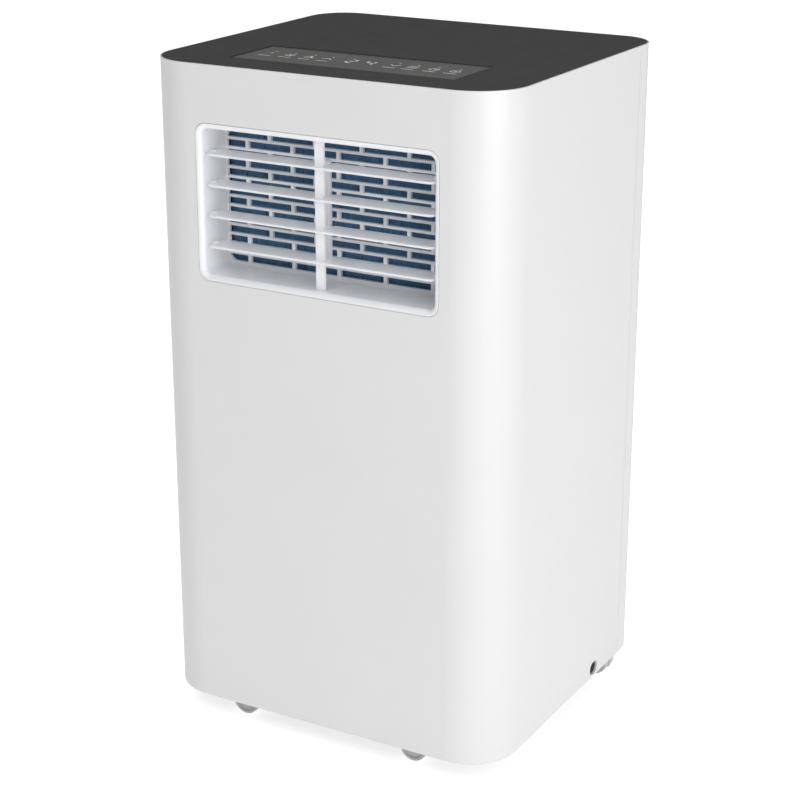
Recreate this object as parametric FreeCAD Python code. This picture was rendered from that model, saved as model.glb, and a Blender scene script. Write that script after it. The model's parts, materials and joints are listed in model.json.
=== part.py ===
"""Portable air conditioner: a tall white cabinet on four twin-wheel casters.

Frame: origin on the floor under the middle of the cabinet, +Z up, the front faces -Y.
Room air enters the upper rear filter, a double-inlet blower pushes it through the blue-finned
evaporator, and it leaves through the louvred outlet at the front. Outside air enters the lower
rear filter, cools the condenser and leaves through the round exhaust collar at the back.
"""
import FreeCAD, Part
import math
import os

V = FreeCAD.Vector
X, Y, Z = V(1, 0, 0), V(0, 1, 0), V(0, 0, 1)

# ---------------------------------------------------------------- driving dimensions, mm
BODY_W = 350.0            # cabinet width
BODY_D = 316.0            # cabinet depth
BODY_H = 598.0            # cabinet height without the casters
GROUND_GAP = 24.0         # floor to the lower edge of the cabinet
FRONT_CORNER_R = 46.0     # upright front corners
REAR_CORNER_R = 36.0      # upright rear corners
SHELL_T = 2.5             # wall of the front and rear shells
RIM_T = 1.2               # thin rim of the shells round the top cover
FIT = 0.3                 # clearance between moulded parts
SEAM_Y = 112.0            # where the front shell ends and the rear shell begins
TOP_T = 3.0               # top cover plate

OUTLET_W = 238.0          # air outlet in the front wall
OUTLET_H = 139.5
OUTLET_R = 11.0
OUTLET_TOP = 50.0         # cabinet top to the outlet's upper edge
OUTLET_DEPTH = 39.0       # front wall to the guard
LIP_W = 5.0               # rounded lip of the outlet frame
LIP_DEPTH = 9.0
LIP_FLAT = 0.6            # what is left flat beside the rounding
FRAME_T = 2.5             # wall of the outlet frame behind the lip
FLANGE_W = 6.0            # flange the guard is screwed to
EAR_X = 125.0             # ears of frame and guard, from the outlet's middle
EAR_Z = 50.0
EAR_R = 6.0

LOUVRE_COUNT = 4
LOUVRE_PITCH = 27.1
LOUVRE_RISE = 1.2         # set of louvres above the outlet's middle
LOUVRE_T = 2.2
LOUVRE_CHORD = 22.5       # front to back
LOUVRE_FRONT = 2.6        # front wall to the louvres' front edge
LOUVRE_SIDE_GAP = 1.2
LOUVRE_CORNER_R = 7.0
PIVOT_R = 2.0             # louvre pivot pins
RUNNING = 0.06            # radial clearance of a pin that turns in a hole
BAR_W = 8.4               # upright bar behind the louvres' front edges
BAR_T = 3.0
BAR_FRONT = 8.5           # front wall to the bar
LINK_W = 4.0              # link that ties the louvres together
LINK_T = 5.0
LINK_PIN_R = 1.2

GUARD_T = 3.0
GUARD_ROWS = 14
GUARD_ROW_PITCH = 8.55
GUARD_SLOT_H = 6.0
GUARD_BRICK = 46.0        # brick length, joint to joint
GUARD_JOINT = 3.4
GUARD_DROP = 1.4          # rows below the outlet's middle
GUARD_CORNER_R = 7.0      # rounding of the whole field of slots

PANEL_W = 219.0           # touch panel in the top cover
PANEL_L = 69.0
PANEL_FRONT = 41.0        # cabinet front to the panel
PANEL_RECESS = 1.8
PANEL_T = 1.0

WHEEL_R = 13.0            # casters
WHEEL_T = 6.6
CASTER_TRAIL = 9.0
CASTER_WEB_T = 4.4
CASTER_STEM_R = 4.0
AXLE_R = 2.0
POCKET_R = 25.5           # round wells in the base pan that the casters turn in
POCKET_DEPTH = 14.0
FRONT_CASTER_X = 91.0
FRONT_CASTER_INSET = 34.0
REAR_CASTER_X = 144.5
REAR_CASTER_INSET = 43.0
SOCKET_W = 16.0           # oval socket low in each side wall, closed at its inner end
SOCKET_H = 12.8
SOCKET_R = 6.3
SOCKET_RISE = 9.4
SOCKET_INSET = 102.0
SOCKET_DEPTH = 12.0

PAN_T = 3.0               # base pan
PAN_LIFT = 2.0
PAN_H = 30.0

COLLAR_R = 65.0           # exhaust hose collar, inside
COLLAR_T = 3.0
COLLAR_L = 20.0
COLLAR_Z = 315.0
COLLAR_TO_DECK = 11.0

FILTER_W = 250.0          # both rear filters
FILTER_T = 6.0
FILTER_ABOVE_DECK = 21.0  # deck to the upper filter
FILTER_BELOW_TOP = 37.0   # upper filter to the cabinet top
LOWER_FILTER_Z = (64.0, 224.0)
FILTER_LEDGE = 4.0
FILTER_SLAT = 2.0
FILTER_SLAT_PITCH = 7.5

DECK_T = 4.0              # deck between the two compartments

SEAL_T = 4.0              # foam ring between the guard and the evaporator
COIL_T = 30.0             # fin depth of both coils
COIL_TUBE_R = 4.0
COIL_TUBE_PITCH = 22.0
COIL_PLATE_T = 1.5
EVAPORATOR_W = 236.0
EVAPORATOR_H = 160.0
CONDENSER_W = 250.0
CONDENSER_Z = (58.0, 228.0)
PIPE_R = 4.0
LIQUID_PIPE_R = 2.5
PIPE_BEND = 12.0
LIQUID_X = 146.0          # where the two pipes cross the deck
SUCTION_X = 160.0

BLOWER_Y = 24.0           # axis of the room-air blower
BLOWER_WHEEL_R = 60.0
BLOWER_WHEEL_W = 140.0
BLOWER_GROWTH = 26.0      # how much its scroll opens out
BLOWER_MOUTH = 68.0       # axis to the scroll's mouth
CONDENSER_WHEEL_X = -25.5
CONDENSER_WHEEL_Z = 140.0
CONDENSER_WHEEL_R = 68.0
CONDENSER_WHEEL_W = 46.0
CONDENSER_GROWTH = 24.0
CONDENSER_MOUTH = 95.0
SCROLL_T = 2.0
SHAFT_R = 4.0
MOTOR_R = 38.0
MOTOR_L = 42.0

COMPRESSOR_R = 52.0
COMPRESSOR_H = 185.0
COMPRESSOR_X = 40.0
COMPRESSOR_Y = -46.0
COMPRESSOR_FOOT_R = 74.0  # axis to the mounting bolts
COMPRESSOR_BOSS_H = 20.0
BOLT_R = 4.0
ACCUMULATOR_X = 120.0
ACCUMULATOR_R = 22.0
ACCUMULATOR_Z = (90.0, 220.0)

DISPLAY_H = 7.0
BOARD_T = 1.6             # both circuit boards

GLAND_X = -118.0          # mains lead
GLAND_Z = 300.0
GLAND_R = 8.0
DRAIN_X = 60.0            # drain spigot in the rear of the pan
DRAIN_R = 7.0
DRAIN_BORE_R = 5.0
SCREW_R = 1.6
SCREW_L = 12.0
BOSS_R = 4.5
BOSS_L = 16.0

BOX_X = (-168.0, -138.0)  # electrical box
BOX_Y = (-100.0, 20.0)
BOX_Z = (418.0, 572.0)
BOX_T = 1.5

# ---------------------------------------------------------------- worked out from them
BODY_Z0 = GROUND_GAP
BODY_Z1 = GROUND_GAP + BODY_H
FRONT_Y = -BODY_D / 2
REAR_Y = BODY_D / 2
INNER = SHELL_T + FIT     # inset of what stands inside the shells
DECK_Z = COLLAR_Z + COLLAR_R + COLLAR_T + COLLAR_TO_DECK
UPPER_FILTER_Z = (DECK_Z + FILTER_ABOVE_DECK, BODY_Z1 - FILTER_BELOW_TOP)
OUTLET_Z = BODY_Z1 - OUTLET_TOP - OUTLET_H / 2
DUCT_W = OUTLET_W - 2 * (FIT + LIP_W)
DUCT_H = OUTLET_H - 2 * (FIT + LIP_W)
DUCT_R = OUTLET_R - LIP_W
FLANGE = (DUCT_W + 2 * (FRAME_T + FLANGE_W), DUCT_H + 2 * (FRAME_T + FLANGE_W), DUCT_R + FRAME_T)
GUARD_Y = FRONT_Y + OUTLET_DEPTH
EVAPORATOR_Y = GUARD_Y + GUARD_T + SEAL_T
EVAPORATOR_Z = (OUTLET_Z - EVAPORATOR_H / 2, OUTLET_Z + EVAPORATOR_H / 2)
EVAPORATOR = (EVAPORATOR_W, EVAPORATOR_Y, *EVAPORATOR_Z)
CONDENSER_Y = REAR_Y - FILTER_T - 6.0 - COIL_T
CONDENSER = (CONDENSER_W, CONDENSER_Y, *CONDENSER_Z)
PIPE_Y = EVAPORATOR_Y + COIL_T / 2
DECK_HOLES = ((LIQUID_X, LIQUID_PIPE_R + 2.5), (SUCTION_X, PIPE_R + 3.0))
DISPLAY_TOP = BODY_Z1 - PANEL_RECESS - FIT
BOARD_TOP = DISPLAY_TOP - DISPLAY_H
PIVOT_Y = FRONT_Y + LOUVRE_FRONT + LOUVRE_CHORD / 2
LINK_Y = PIVOT_Y + LOUVRE_CHORD / 2 - LINK_PIN_R - 0.8
LOUVRE_Z = [OUTLET_Z + LOUVRE_RISE + LOUVRE_PITCH * ((LOUVRE_COUNT - 1) / 2 - i) for i in range(LOUVRE_COUNT)]
PAN_Z = BODY_Z0 + PAN_LIFT
PAN_FLOOR = PAN_Z + PAN_T
PAN_TOP = PAN_Z + PAN_H
POCKET_Z = PAN_Z + POCKET_DEPTH
SOCKET_X = BODY_W / 2 - SOCKET_DEPTH
DRAIN_Z = PAN_Z + 14.0
SCREW_X = BODY_W / 2 - REAR_CORNER_R - 4.0
SCREW_Z = (PAN_Z + 20.0, DECK_Z - 6.0, BODY_Z1 - TOP_T - 14.0)
BOSS_END = REAR_Y - SHELL_T - FIT
BLOWER_SMALL_R = BLOWER_WHEEL_R + 10.0
BLOWER_LARGE_R = BLOWER_SMALL_R + BLOWER_GROWTH
BLOWER_HALF_W = BLOWER_WHEEL_W / 2 + 8.0
BLOWER_MOUTH_Z = (-60.0, 78.0)
BLOWER_MOTOR_X = BLOWER_HALF_W + SCROLL_T + 12.0
CONDENSER_SMALL_R = CONDENSER_WHEEL_R + 8.0
CONDENSER_LARGE_R = CONDENSER_SMALL_R + CONDENSER_GROWTH
CONDENSER_HALF_W = CONDENSER_WHEEL_W / 2 + 5.0
CONDENSER_FAN_Y = CONDENSER_Y - 3.0 - SCROLL_T - CONDENSER_HALF_W
CONDENSER_MOUTH_X = (2 * CONDENSER_WHEEL_X + 2, CONDENSER_LARGE_R)
DUCT_X = (CONDENSER_WHEEL_X + CONDENSER_MOUTH_X[0], CONDENSER_WHEEL_X + CONDENSER_MOUTH_X[1])
DUCT_Z = (CONDENSER_WHEEL_Z + CONDENSER_MOUTH, DECK_Z - 6.0)
BOSS_Z = PAN_Z + COMPRESSOR_BOSS_H
FOOT_Z = BOSS_Z + 12.0
CASTERS = {
    "front_left": (-FRONT_CASTER_X, FRONT_Y + FRONT_CASTER_INSET, 180.0),
    "front_right": (FRONT_CASTER_X, FRONT_Y + FRONT_CASTER_INSET, 180.0),
    "rear_left": (-REAR_CASTER_X, REAR_Y - REAR_CASTER_INSET, 180.0),
    "rear_right": (REAR_CASTER_X, REAR_Y - REAR_CASTER_INSET, 0.0),
}
COMPRESSOR_FEET = [
    (COMPRESSOR_X + COMPRESSOR_FOOT_R * math.cos(math.radians(a)),
     COMPRESSOR_Y + COMPRESSOR_FOOT_R * math.sin(math.radians(a)))
    for a in (90, 210, 330)
]
REAR_SCREWS = [(side * SCREW_X, z) for side in (-1, 1) for z in SCREW_Z]
EARS = [(sx * EAR_X, OUTLET_Z + sz * EAR_Z) for sx in (-1, 1) for sz in (-1, 1)]


# ---------------------------------------------------------------- helpers
def block(x0, x1, y0, y1, z0, z1):
    return Part.makeBox(x1 - x0, y1 - y0, z1 - z0, V(x0, y0, z0))


def rod(r, length, start, axis):
    return Part.makeCylinder(r, length, start, axis)


def rounded_wire(w, h, radii, at):
    """Closed wire of a w by h rectangle, with radii from its (+,+) corner round. at(u, v) places a point."""
    if not isinstance(radii, tuple):
        radii = (radii,) * 4
    signs = ((1, 1), (-1, 1), (-1, -1), (1, -1))
    arcs = []
    for quarter, ((su, sv), r) in enumerate(zip(signs, radii)):
        cu, cv = su * (w / 2 - r), sv * (h / 2 - r)
        turns = [math.radians(90 * quarter + a) for a in (0, 45, 90)]
        arcs.append([at(cu + r * math.cos(a), cv + r * math.sin(a)) for a in turns])
    edges = []
    for arc, following in zip(arcs, arcs[1:] + arcs[:1]):
        edges.append(Part.Arc(*arc).toShape())
        edges.append(Part.makeLine(arc[2], following[0]))
    return Part.Wire(edges)


def body_prism(inset, z0, z1):
    """Upright prism of the cabinet's plan, moved in by inset."""
    rear, front = REAR_CORNER_R - inset, FRONT_CORNER_R - inset
    radii = (rear, rear, front, front)
    wire = rounded_wire(BODY_W - 2 * inset, BODY_D - 2 * inset, radii, lambda u, v: V(u, v, z0))
    return Part.Face(wire).extrude(Z * (z1 - z0))


def window(w, h, r, y0, y1, z, x=0.0):
    """Rounded rectangular prism that runs along Y."""
    return Part.Face(rounded_wire(w, h, r, lambda u, v: V(x + u, y0, z + v))).extrude(Y * (y1 - y0))


def pyramid(near, far, y0, y1):
    """Solid that goes from one rectangle (x0, x1, z0, z1) at y0 to another at y1."""
    wires = []
    for (x0, x1, z0, z1), y in ((near, y0), (far, y1)):
        corners = [V(x0, y, z0), V(x1, y, z0), V(x1, y, z1), V(x0, y, z1)]
        wires.append(Part.makePolygon(corners + corners[:1]))
    return Part.makeLoft(wires, True, True)


def tube(points, r, bend):
    """Round bar along straight runs joined by tangent arcs of radius bend."""
    points = [V(*p) for p in points]
    edges = []
    start = points[0]
    for before, corner, after in zip(points, points[1:], points[2:]):
        a, b = (before - corner).normalize(), (after - corner).normalize()
        half = a.getAngle(b) / 2
        setback = bend / math.tan(half)
        middle = corner + (a + b).normalize() * (bend / math.sin(half) - bend)
        first, last = corner + a * setback, corner + b * setback
        if (first - start).Length > 1e-6:
            edges.append(Part.makeLine(start, first))
        edges.append(Part.Arc(first, middle, last).toShape())
        start = last
    edges.append(Part.makeLine(start, points[-1]))
    path = Part.Wire(edges)
    heading = (points[1] - points[0]).normalize()
    ring = Part.Wire(Part.makeCircle(r, points[0], heading))
    return path.makePipeShell([ring], True, False)


def joined(shapes):
    return shapes[0].multiFuse(shapes[1:]).removeSplitter()


def turned(shape, centre, axis, degrees):
    copy = shape.copy()
    copy.rotate(centre, axis, degrees)
    return copy


# ---------------------------------------------------------------- cabinet
def side_socket(x0, x1, margin=0.0):
    """Prism along X of the oval socket low in a side wall, or of its lining when a margin is given."""
    y, z = REAR_Y - SOCKET_INSET, BODY_Z0 + SOCKET_RISE
    w, h = SOCKET_W + 2 * margin, SOCKET_H + 2 * margin
    wire = rounded_wire(w, h, SOCKET_R + margin, lambda u, v: V(x0, y + u, z + v))
    return Part.Face(wire).extrude(X * (x1 - x0))


def cabinet_wall():
    """The whole outer wall, before it is split into the two shells."""
    outer = body_prism(0, BODY_Z0, BODY_Z1)
    lower = [e for e in outer.Edges if e.BoundBox.ZMax < BODY_Z0 + 0.01]
    outer = outer.makeFillet(SHELL_T * 0.7, lower)
    wall = outer.cut(body_prism(SHELL_T, BODY_Z0 - 1, BODY_Z1 + 1)).cut(side_socket(-BODY_W, BODY_W))
    return wall.cut(body_prism(RIM_T, BODY_Z1 - TOP_T, BODY_Z1 + 1))


def front_shell():
    wall = cabinet_wall().common(block(-BODY_W, BODY_W, -BODY_D, SEAM_Y, 0, BODY_Z1 + 1))
    wall = wall.cut(window(OUTLET_W, OUTLET_H, OUTLET_R, FRONT_Y - 1, FRONT_Y + SHELL_T + 1, OUTLET_Z))
    fixings = []
    for side in (-1, 1):
        wall_x, y, z = side * (BODY_W / 2 - SHELL_T), FRONT_Y + FRONT_CORNER_R + 20, PAN_TOP + FIT
        tip_x = wall_x - side * 14
        lug = block(min(wall_x, tip_x), max(wall_x, tip_x), y - 8, y + 8, z, z + 12)
        fixings.append(lug.cut(rod(SCREW_R, 14, V(wall_x - side * 8, y, z - 1), Z)))
    for x, z in EARS:
        front, back = FRONT_Y + SHELL_T - 0.2, GUARD_Y - 2
        post = rod(BOSS_R, back - front, V(x, front, z), Y)
        fixings.append(post.cut(rod(SCREW_R, SCREW_L, V(x, back - SCREW_L, z), Y)))
    return joined([wall] + fixings)


def filter_pocket(z0, z1):
    """Shallow tray moulded round a rear opening, with a ledge that the filter frame rests on."""
    w, h, z = FILTER_W, z1 - z0, (z0 + z1) / 2
    y0, ledge, y1 = REAR_Y - FILTER_T - 2, REAR_Y - FILTER_T, REAR_Y - SHELL_T
    pocket = window(w + 5, h + 5, 6.5, y0, y1, z).cut(window(w, h, 4, ledge, y1 + 1, z))
    return pocket.cut(window(w - 2 * FILTER_LEDGE, h - 2 * FILTER_LEDGE, 2, y0 - 1, y1, z))


def seam_tongue():
    """Strip behind the seam that laps inside the front shell. It stops short of the deck on both sides."""
    z0, z1 = PAN_TOP + FIT, BODY_Z1 - TOP_T - 16
    tongue = body_prism(INNER, z0, z1).common(block(-BODY_W, BODY_W, SEAM_Y - 8, SEAM_Y + 8, z0, z1))
    root = body_prism(SHELL_T - 0.2, z0, z1).common(block(-BODY_W, BODY_W, SEAM_Y + 4, SEAM_Y + 8, z0, z1))
    tongue = tongue.fuse(root).cut(body_prism(INNER + 1.8, z0 - 1, z1 + 1))
    return tongue.cut(block(-BODY_W, BODY_W, 0, BODY_D, DECK_Z - FIT, DECK_Z + DECK_T + 5 + FIT))


def rear_shell():
    wall = cabinet_wall().common(block(-BODY_W, BODY_W, SEAM_Y + FIT, BODY_D, 0, BODY_Z1 + 1))
    shell = joined([wall, seam_tongue()] + [filter_pocket(*z) for z in (UPPER_FILTER_Z, LOWER_FILTER_Z)])
    inside = REAR_Y - SHELL_T - 1
    for z0, z1 in (UPPER_FILTER_Z, LOWER_FILTER_Z):
        shell = shell.cut(window(FILTER_W, z1 - z0, 4, inside, REAR_Y + 1, (z0 + z1) / 2))
    shell = shell.cut(rod(COLLAR_R + COLLAR_T + FIT, 10, V(0, inside, COLLAR_Z), Y))
    shell = shell.cut(rod(GLAND_R + FIT, 10, V(GLAND_X, inside, GLAND_Z), Y))
    shell = shell.cut(rod(DRAIN_R + 2, 10, V(DRAIN_X, inside, DRAIN_Z), Y))
    for x, z in REAR_SCREWS:
        shell = shell.cut(rod(SCREW_R, 10, V(x, inside, z), Y))
        shell = shell.cut(Part.makeCone(SCREW_R, SCREW_R * 2, 1.6, V(x, REAR_Y - 1.6, z), Y))
    return shell


def cross_slot(x, y, z):
    bar = block(x - 2, x + 2, y - 1, y + 1, z - 0.35, z + 0.35)
    return bar.fuse(turned(bar, V(x, y, z), Y, 90))


def rear_screws():
    screws = []
    for x, z in REAR_SCREWS:
        shank = rod(SCREW_R, SCREW_L, V(x, REAR_Y - 1.6 - SCREW_L, z), Y)
        head = Part.makeCone(SCREW_R, SCREW_R * 2, 1.6, V(x, REAR_Y - 1.6, z), Y)
        screws.append(shank.fuse(head).cut(cross_slot(x, REAR_Y + 0.4, z)))
    return Part.makeCompound(screws)


def outlet_screws():
    screws = []
    for x, z in EARS:
        seat = GUARD_Y + GUARD_T
        shank = rod(SCREW_R, SCREW_L + GUARD_T, V(x, seat - SCREW_L - GUARD_T, z), Y)
        screws.append(shank.fuse(rod(SCREW_R * 2, 2, V(x, seat, z), Y)).cut(cross_slot(x, seat + 2.4, z)))
    return Part.makeCompound(screws)


def with_rear_bosses(shape, height, ribs):
    """Add the two posts that the rear screws of one height bite into, and bore them."""
    for side in (-1, 1):
        x = side * SCREW_X
        post = rod(BOSS_R, BOSS_L, V(x, BOSS_END - BOSS_L, height), Y)
        rib = block(x - 1.5, x + 1.5, BOSS_END - BOSS_L, BOSS_END - 4, *ribs)
        shape = joined([shape, post, rib])
        shape = shape.cut(rod(SCREW_R, SCREW_L, V(x, BOSS_END - SCREW_L, height), Y))
    return shape


def top_cover():
    plate = body_prism(RIM_T + 0.15, BODY_Z1 - TOP_T, BODY_Z1)
    skirt = body_prism(INNER, BODY_Z1 - TOP_T - 12, BODY_Z1 - TOP_T)
    cover = joined([plate, skirt.cut(body_prism(INNER + 2, 0, BODY_Z1))])
    y0 = FRONT_Y + PANEL_FRONT
    cover = cover.cut(block(-PANEL_W / 2, PANEL_W / 2, y0, y0 + PANEL_L, BODY_Z1 - PANEL_RECESS, BODY_Z1 + 1))
    cover = cover.cut(block(-38, 38, y0 + 18, y0 + 44, BODY_Z1 - TOP_T - 1, BODY_Z1))
    return with_rear_bosses(cover, SCREW_Z[2], (SCREW_Z[2], BODY_Z1 - TOP_T))


def control_panel():
    y0, z0 = FRONT_Y + PANEL_FRONT + FIT / 2, BODY_Z1 - PANEL_RECESS
    w = PANEL_W - FIT
    return block(-w / 2, w / 2, y0, y0 + PANEL_L - FIT, z0, z0 + PANEL_T)


def display_module():
    """Two-digit display that looks up through the window under the touch panel."""
    y0 = FRONT_Y + PANEL_FRONT + 19
    module = block(-36, 36, y0, y0 + 24, BOARD_TOP, DISPLAY_TOP)
    for x in (-15, 3):
        module = module.cut(block(x, x + 12, y0 + 3, y0 + 21, DISPLAY_TOP - 0.8, DISPLAY_TOP + 1))
    return module


def control_board():
    y0 = FRONT_Y + PANEL_FRONT + 5
    board = block(-100, 100, y0, y0 + 58, BOARD_TOP - BOARD_T, BOARD_TOP)
    posts = [rod(3, BODY_Z1 - TOP_T - BOARD_TOP, V(x, y0 + 6, BOARD_TOP), Z) for x in (-80, 80)]
    chip = block(-60, -46, y0 + 34, y0 + 48, BOARD_TOP - BOARD_T - 1.8, BOARD_TOP - BOARD_T)
    return joined([board, chip] + posts)


def base_pan():
    rim = INNER + FIT
    plan = body_prism(rim, PAN_Z, PAN_TOP)
    pan = plan.cut(body_prism(rim + PAN_T, PAN_FLOOR, PAN_TOP + 1))
    extras = [block(-110, 110, y - 1.5, y + 1.5, PAN_FLOOR - 1, PAN_FLOOR + 8) for y in (48, 66)]
    for x, y, _ in CASTERS.values():
        extras.append(rod(POCKET_R + PAN_T, POCKET_DEPTH + PAN_T, V(x, y, PAN_Z), Z).common(plan))
        extras.append(rod(CASTER_STEM_R + 4, 16, V(x, y, POCKET_Z), Z))
    for x, y in COMPRESSOR_FEET:
        extras.append(rod(12, COMPRESSOR_BOSS_H, V(x, y, PAN_Z), Z))
    extras.append(rod(DRAIN_R, 16.5, V(DRAIN_X, REAR_Y - 20, DRAIN_Z), Y))
    lining = SOCKET_X - PAN_T
    extras += [side_socket(*ends, PAN_T).common(plan) for ends in ((-BODY_W, -lining), (lining, BODY_W))]
    pan = joined([pan] + extras)
    for ends in ((-BODY_W, -SOCKET_X), (SOCKET_X, BODY_W)):
        pan = pan.cut(side_socket(*ends))
    pan = pan.cut(rod(DRAIN_BORE_R, 30, V(DRAIN_X, REAR_Y - 30, DRAIN_Z), Y))
    for x, y, _ in CASTERS.values():
        pan = pan.cut(rod(POCKET_R, POCKET_DEPTH + 1, V(x, y, PAN_Z - 1), Z))
        pan = pan.cut(rod(CASTER_STEM_R + RUNNING, 14.5, V(x, y, POCKET_Z - 1), Z))
    for x, y in COMPRESSOR_FEET:
        pan = pan.cut(rod(BOLT_R, 10, V(x, y, BOSS_Z - 10), Z))
    return with_rear_bosses(pan, SCREW_Z[0], (PAN_FLOOR - 1, SCREW_Z[0]))


def drain_cap():
    """Rubber bung in the drain spigot. It pulls straight out."""
    flange = rod(DRAIN_R + 0.5, 2.4, V(DRAIN_X, REAR_Y - 2.6, DRAIN_Z), Y)
    plug = rod(DRAIN_BORE_R - RUNNING, 10, V(DRAIN_X, REAR_Y - 12, DRAIN_Z), Y)
    return joined([flange, plug])


def cord_gland():
    """Gland for the mains lead: a bush through the rear wall, with its seat and nut inside."""
    inside = REAR_Y - SHELL_T
    bush = rod(GLAND_R, SHELL_T + 10, V(GLAND_X, inside - 10, GLAND_Z), Y)
    seat = rod(GLAND_R + 2.5, 3, V(GLAND_X, inside - 3, GLAND_Z), Y)
    nut = Part.Face(Part.makePolygon([
        V(GLAND_X + 12 * math.cos(math.radians(a)), inside - 9, GLAND_Z + 12 * math.sin(math.radians(a)))
        for a in range(0, 361, 60)
    ])).extrude(Y * 4)
    return joined([bush, seat, nut]).cut(rod(4, 40, V(GLAND_X, REAR_Y - 30, GLAND_Z), Y))


def deck():
    plate = body_prism(INNER + FIT, DECK_Z, DECK_Z + DECK_T)
    rim = body_prism(INNER + FIT, DECK_Z + DECK_T, DECK_Z + DECK_T + 5)
    plate = joined([plate, rim.cut(body_prism(INNER + FIT + 2, DECK_Z, DECK_Z + DECK_T + 6))])
    for x, r in DECK_HOLES:
        plate = plate.cut(rod(r, DECK_T + 2, V(x, PIPE_Y, DECK_Z - 1), Z))
    return with_rear_bosses(plate, SCREW_Z[1], (SCREW_Z[1], DECK_Z + 1))


def frame_posts():
    """Four angle posts that stand on the pan's rim and carry the deck."""
    posts = []
    for side in (-1, 1):
        for y in (-70, 24):
            outer = side * (BODY_W / 2 - INNER - FIT)
            inner = outer - side * 6.5
            web, past = outer - side * 1.5, inner - side
            post = block(min(outer, inner), max(outer, inner), y, y + 16, PAN_TOP, DECK_Z)
            posts.append(post.cut(block(min(web, past), max(web, past), y + 1.5, y + 17, 0, DECK_Z + 1)))
    return Part.makeCompound(posts)


def intake_filter(z0, z1):
    """Slatted frame with a fine mesh behind the slats and a finger notch in the middle of its top rail."""
    w, h, z = FILTER_W - 2 * FIT, z1 - z0 - 2 * FIT, (z0 + z1) / 2
    y0 = REAR_Y - FILTER_T + FIT
    rail = 9.0
    frame = window(w, h, 4, y0, REAR_Y, z).cut(window(w - 2 * rail, h - 2 * rail, 3, y0 - 1, REAR_Y + 1, z))
    bars = [block(x - 1.5, x + 1.5, REAR_Y - 4, REAR_Y, z - h / 2 + 1, z + h / 2 - 1)
            for x in (-w / 6, w / 6)]
    level = z - h / 2 + rail + FILTER_SLAT_PITCH - FILTER_SLAT
    while level < z + h / 2 - rail - FILTER_SLAT:
        bars.append(block(-w / 2 + 1, w / 2 - 1, REAR_Y - 4, REAR_Y - 0.4, level, level + FILTER_SLAT))
        level += FILTER_SLAT_PITCH
    frame = joined([frame] + bars)
    frame = frame.cut(window(44, 7, 3, REAR_Y - 3.5, REAR_Y + 1, z + h / 2 - rail / 2 - 0.5))
    mesh = block(-w / 2 + rail, w / 2 - rail, y0, y0 + 0.8, z - h / 2 + rail, z + h / 2 - rail)
    return Part.makeCompound([frame, mesh])


# ---------------------------------------------------------------- air outlet
def ears(y0, y1):
    """Pads at the four screws, joined to the flange by short straps."""
    pads = []
    for x, z in EARS:
        pads.append(rod(EAR_R, y1 - y0, V(x, y0, z), Y))
        reach = x - math.copysign(12, x)
        pads.append(block(min(x, reach), max(x, reach), y0, y1, z - EAR_R, z + EAR_R))
    return pads


def outlet_frame():
    """Rounded lip in the front wall, a straight duct behind it and the flange the guard is screwed to."""
    lip_y = FRONT_Y + LIP_DEPTH
    lip = window(OUTLET_W - 2 * FIT, OUTLET_H - 2 * FIT, OUTLET_R - FIT, FRONT_Y, lip_y, OUTLET_Z)
    outer_w, outer_h = DUCT_W + 2 * FRAME_T, DUCT_H + 2 * FRAME_T
    duct = window(outer_w, outer_h, DUCT_R + FRAME_T, lip_y - 1, GUARD_Y, OUTLET_Z)
    flange = window(*FLANGE, GUARD_Y - 2, GUARD_Y, OUTLET_Z)
    frame = joined([lip, duct, flange] + ears(GUARD_Y - 2, GUARD_Y))
    frame = frame.cut(window(DUCT_W, DUCT_H, DUCT_R, FRONT_Y - 1, GUARD_Y + 1, OUTLET_Z))
    front_edges = [e for e in frame.Edges if e.BoundBox.YMax < FRONT_Y + 0.01]
    mouth = []
    for edge in front_edges:
        middle = edge.CenterOfMass
        if abs(middle.x) < DUCT_W / 2 + 0.5 and abs(middle.z - OUTLET_Z) < DUCT_H / 2 + 0.5:
            mouth.append(edge)
    frame = frame.makeFillet(LIP_W - LIP_FLAT, mouth)
    for z in LOUVRE_Z:
        frame = frame.cut(rod(PIVOT_R + RUNNING, OUTLET_W, V(-OUTLET_W / 2, PIVOT_Y, z), X))
    for x, z in EARS:
        frame = frame.cut(rod(SCREW_R, 4, V(x, GUARD_Y - 3, z), Y))
    return frame


def centre_bar():
    """Upright bar between the duct's floor and ceiling."""
    y0 = FRONT_Y + BAR_FRONT
    return block(-BAR_W / 2, BAR_W / 2, y0, y0 + BAR_T, OUTLET_Z - DUCT_H / 2, OUTLET_Z + DUCT_H / 2)


def louvre(z):
    """Blade that turns on two end pins, with a notch for the bar and a cross pin for the link."""
    front = FRONT_Y + LOUVRE_FRONT
    back = front + LOUVRE_CHORD
    half = DUCT_W / 2 - LOUVRE_SIDE_GAP
    blade = block(-half, half, front, back, z - LOUVRE_T / 2, z + LOUVRE_T / 2)
    upright = [e for e in blade.Edges if e.BoundBox.ZLength > LOUVRE_T * 0.9 and e.BoundBox.YMax < front + 1]
    blade = blade.makeFillet(LOUVRE_CORNER_R, upright)
    leading = [e for e in blade.Edges
               if e.BoundBox.ZLength < 0.01 and e.BoundBox.YMax < front + LOUVRE_CORNER_R + 0.5]
    blade = blade.makeFillet(LOUVRE_T * 0.4, leading)
    notch, notch_y = BAR_W / 2 + 1, FRONT_Y + BAR_FRONT - 3
    blade = blade.cut(block(-notch, notch, notch_y, back + 1, z - LOUVRE_T, z + LOUVRE_T))
    pin_l = LOUVRE_SIDE_GAP + FRAME_T + 6
    pins = [rod(PIVOT_R, pin_l - 0.2, V(x, PIVOT_Y, z), X)
            for x in (-DUCT_W / 2 - FRAME_T + 0.2, DUCT_W / 2 + FRAME_T - pin_l)]
    cross = rod(LINK_PIN_R, 2 * notch + 2, V(-notch - 1, LINK_Y, z), X)
    return joined([blade, cross] + pins)


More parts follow.
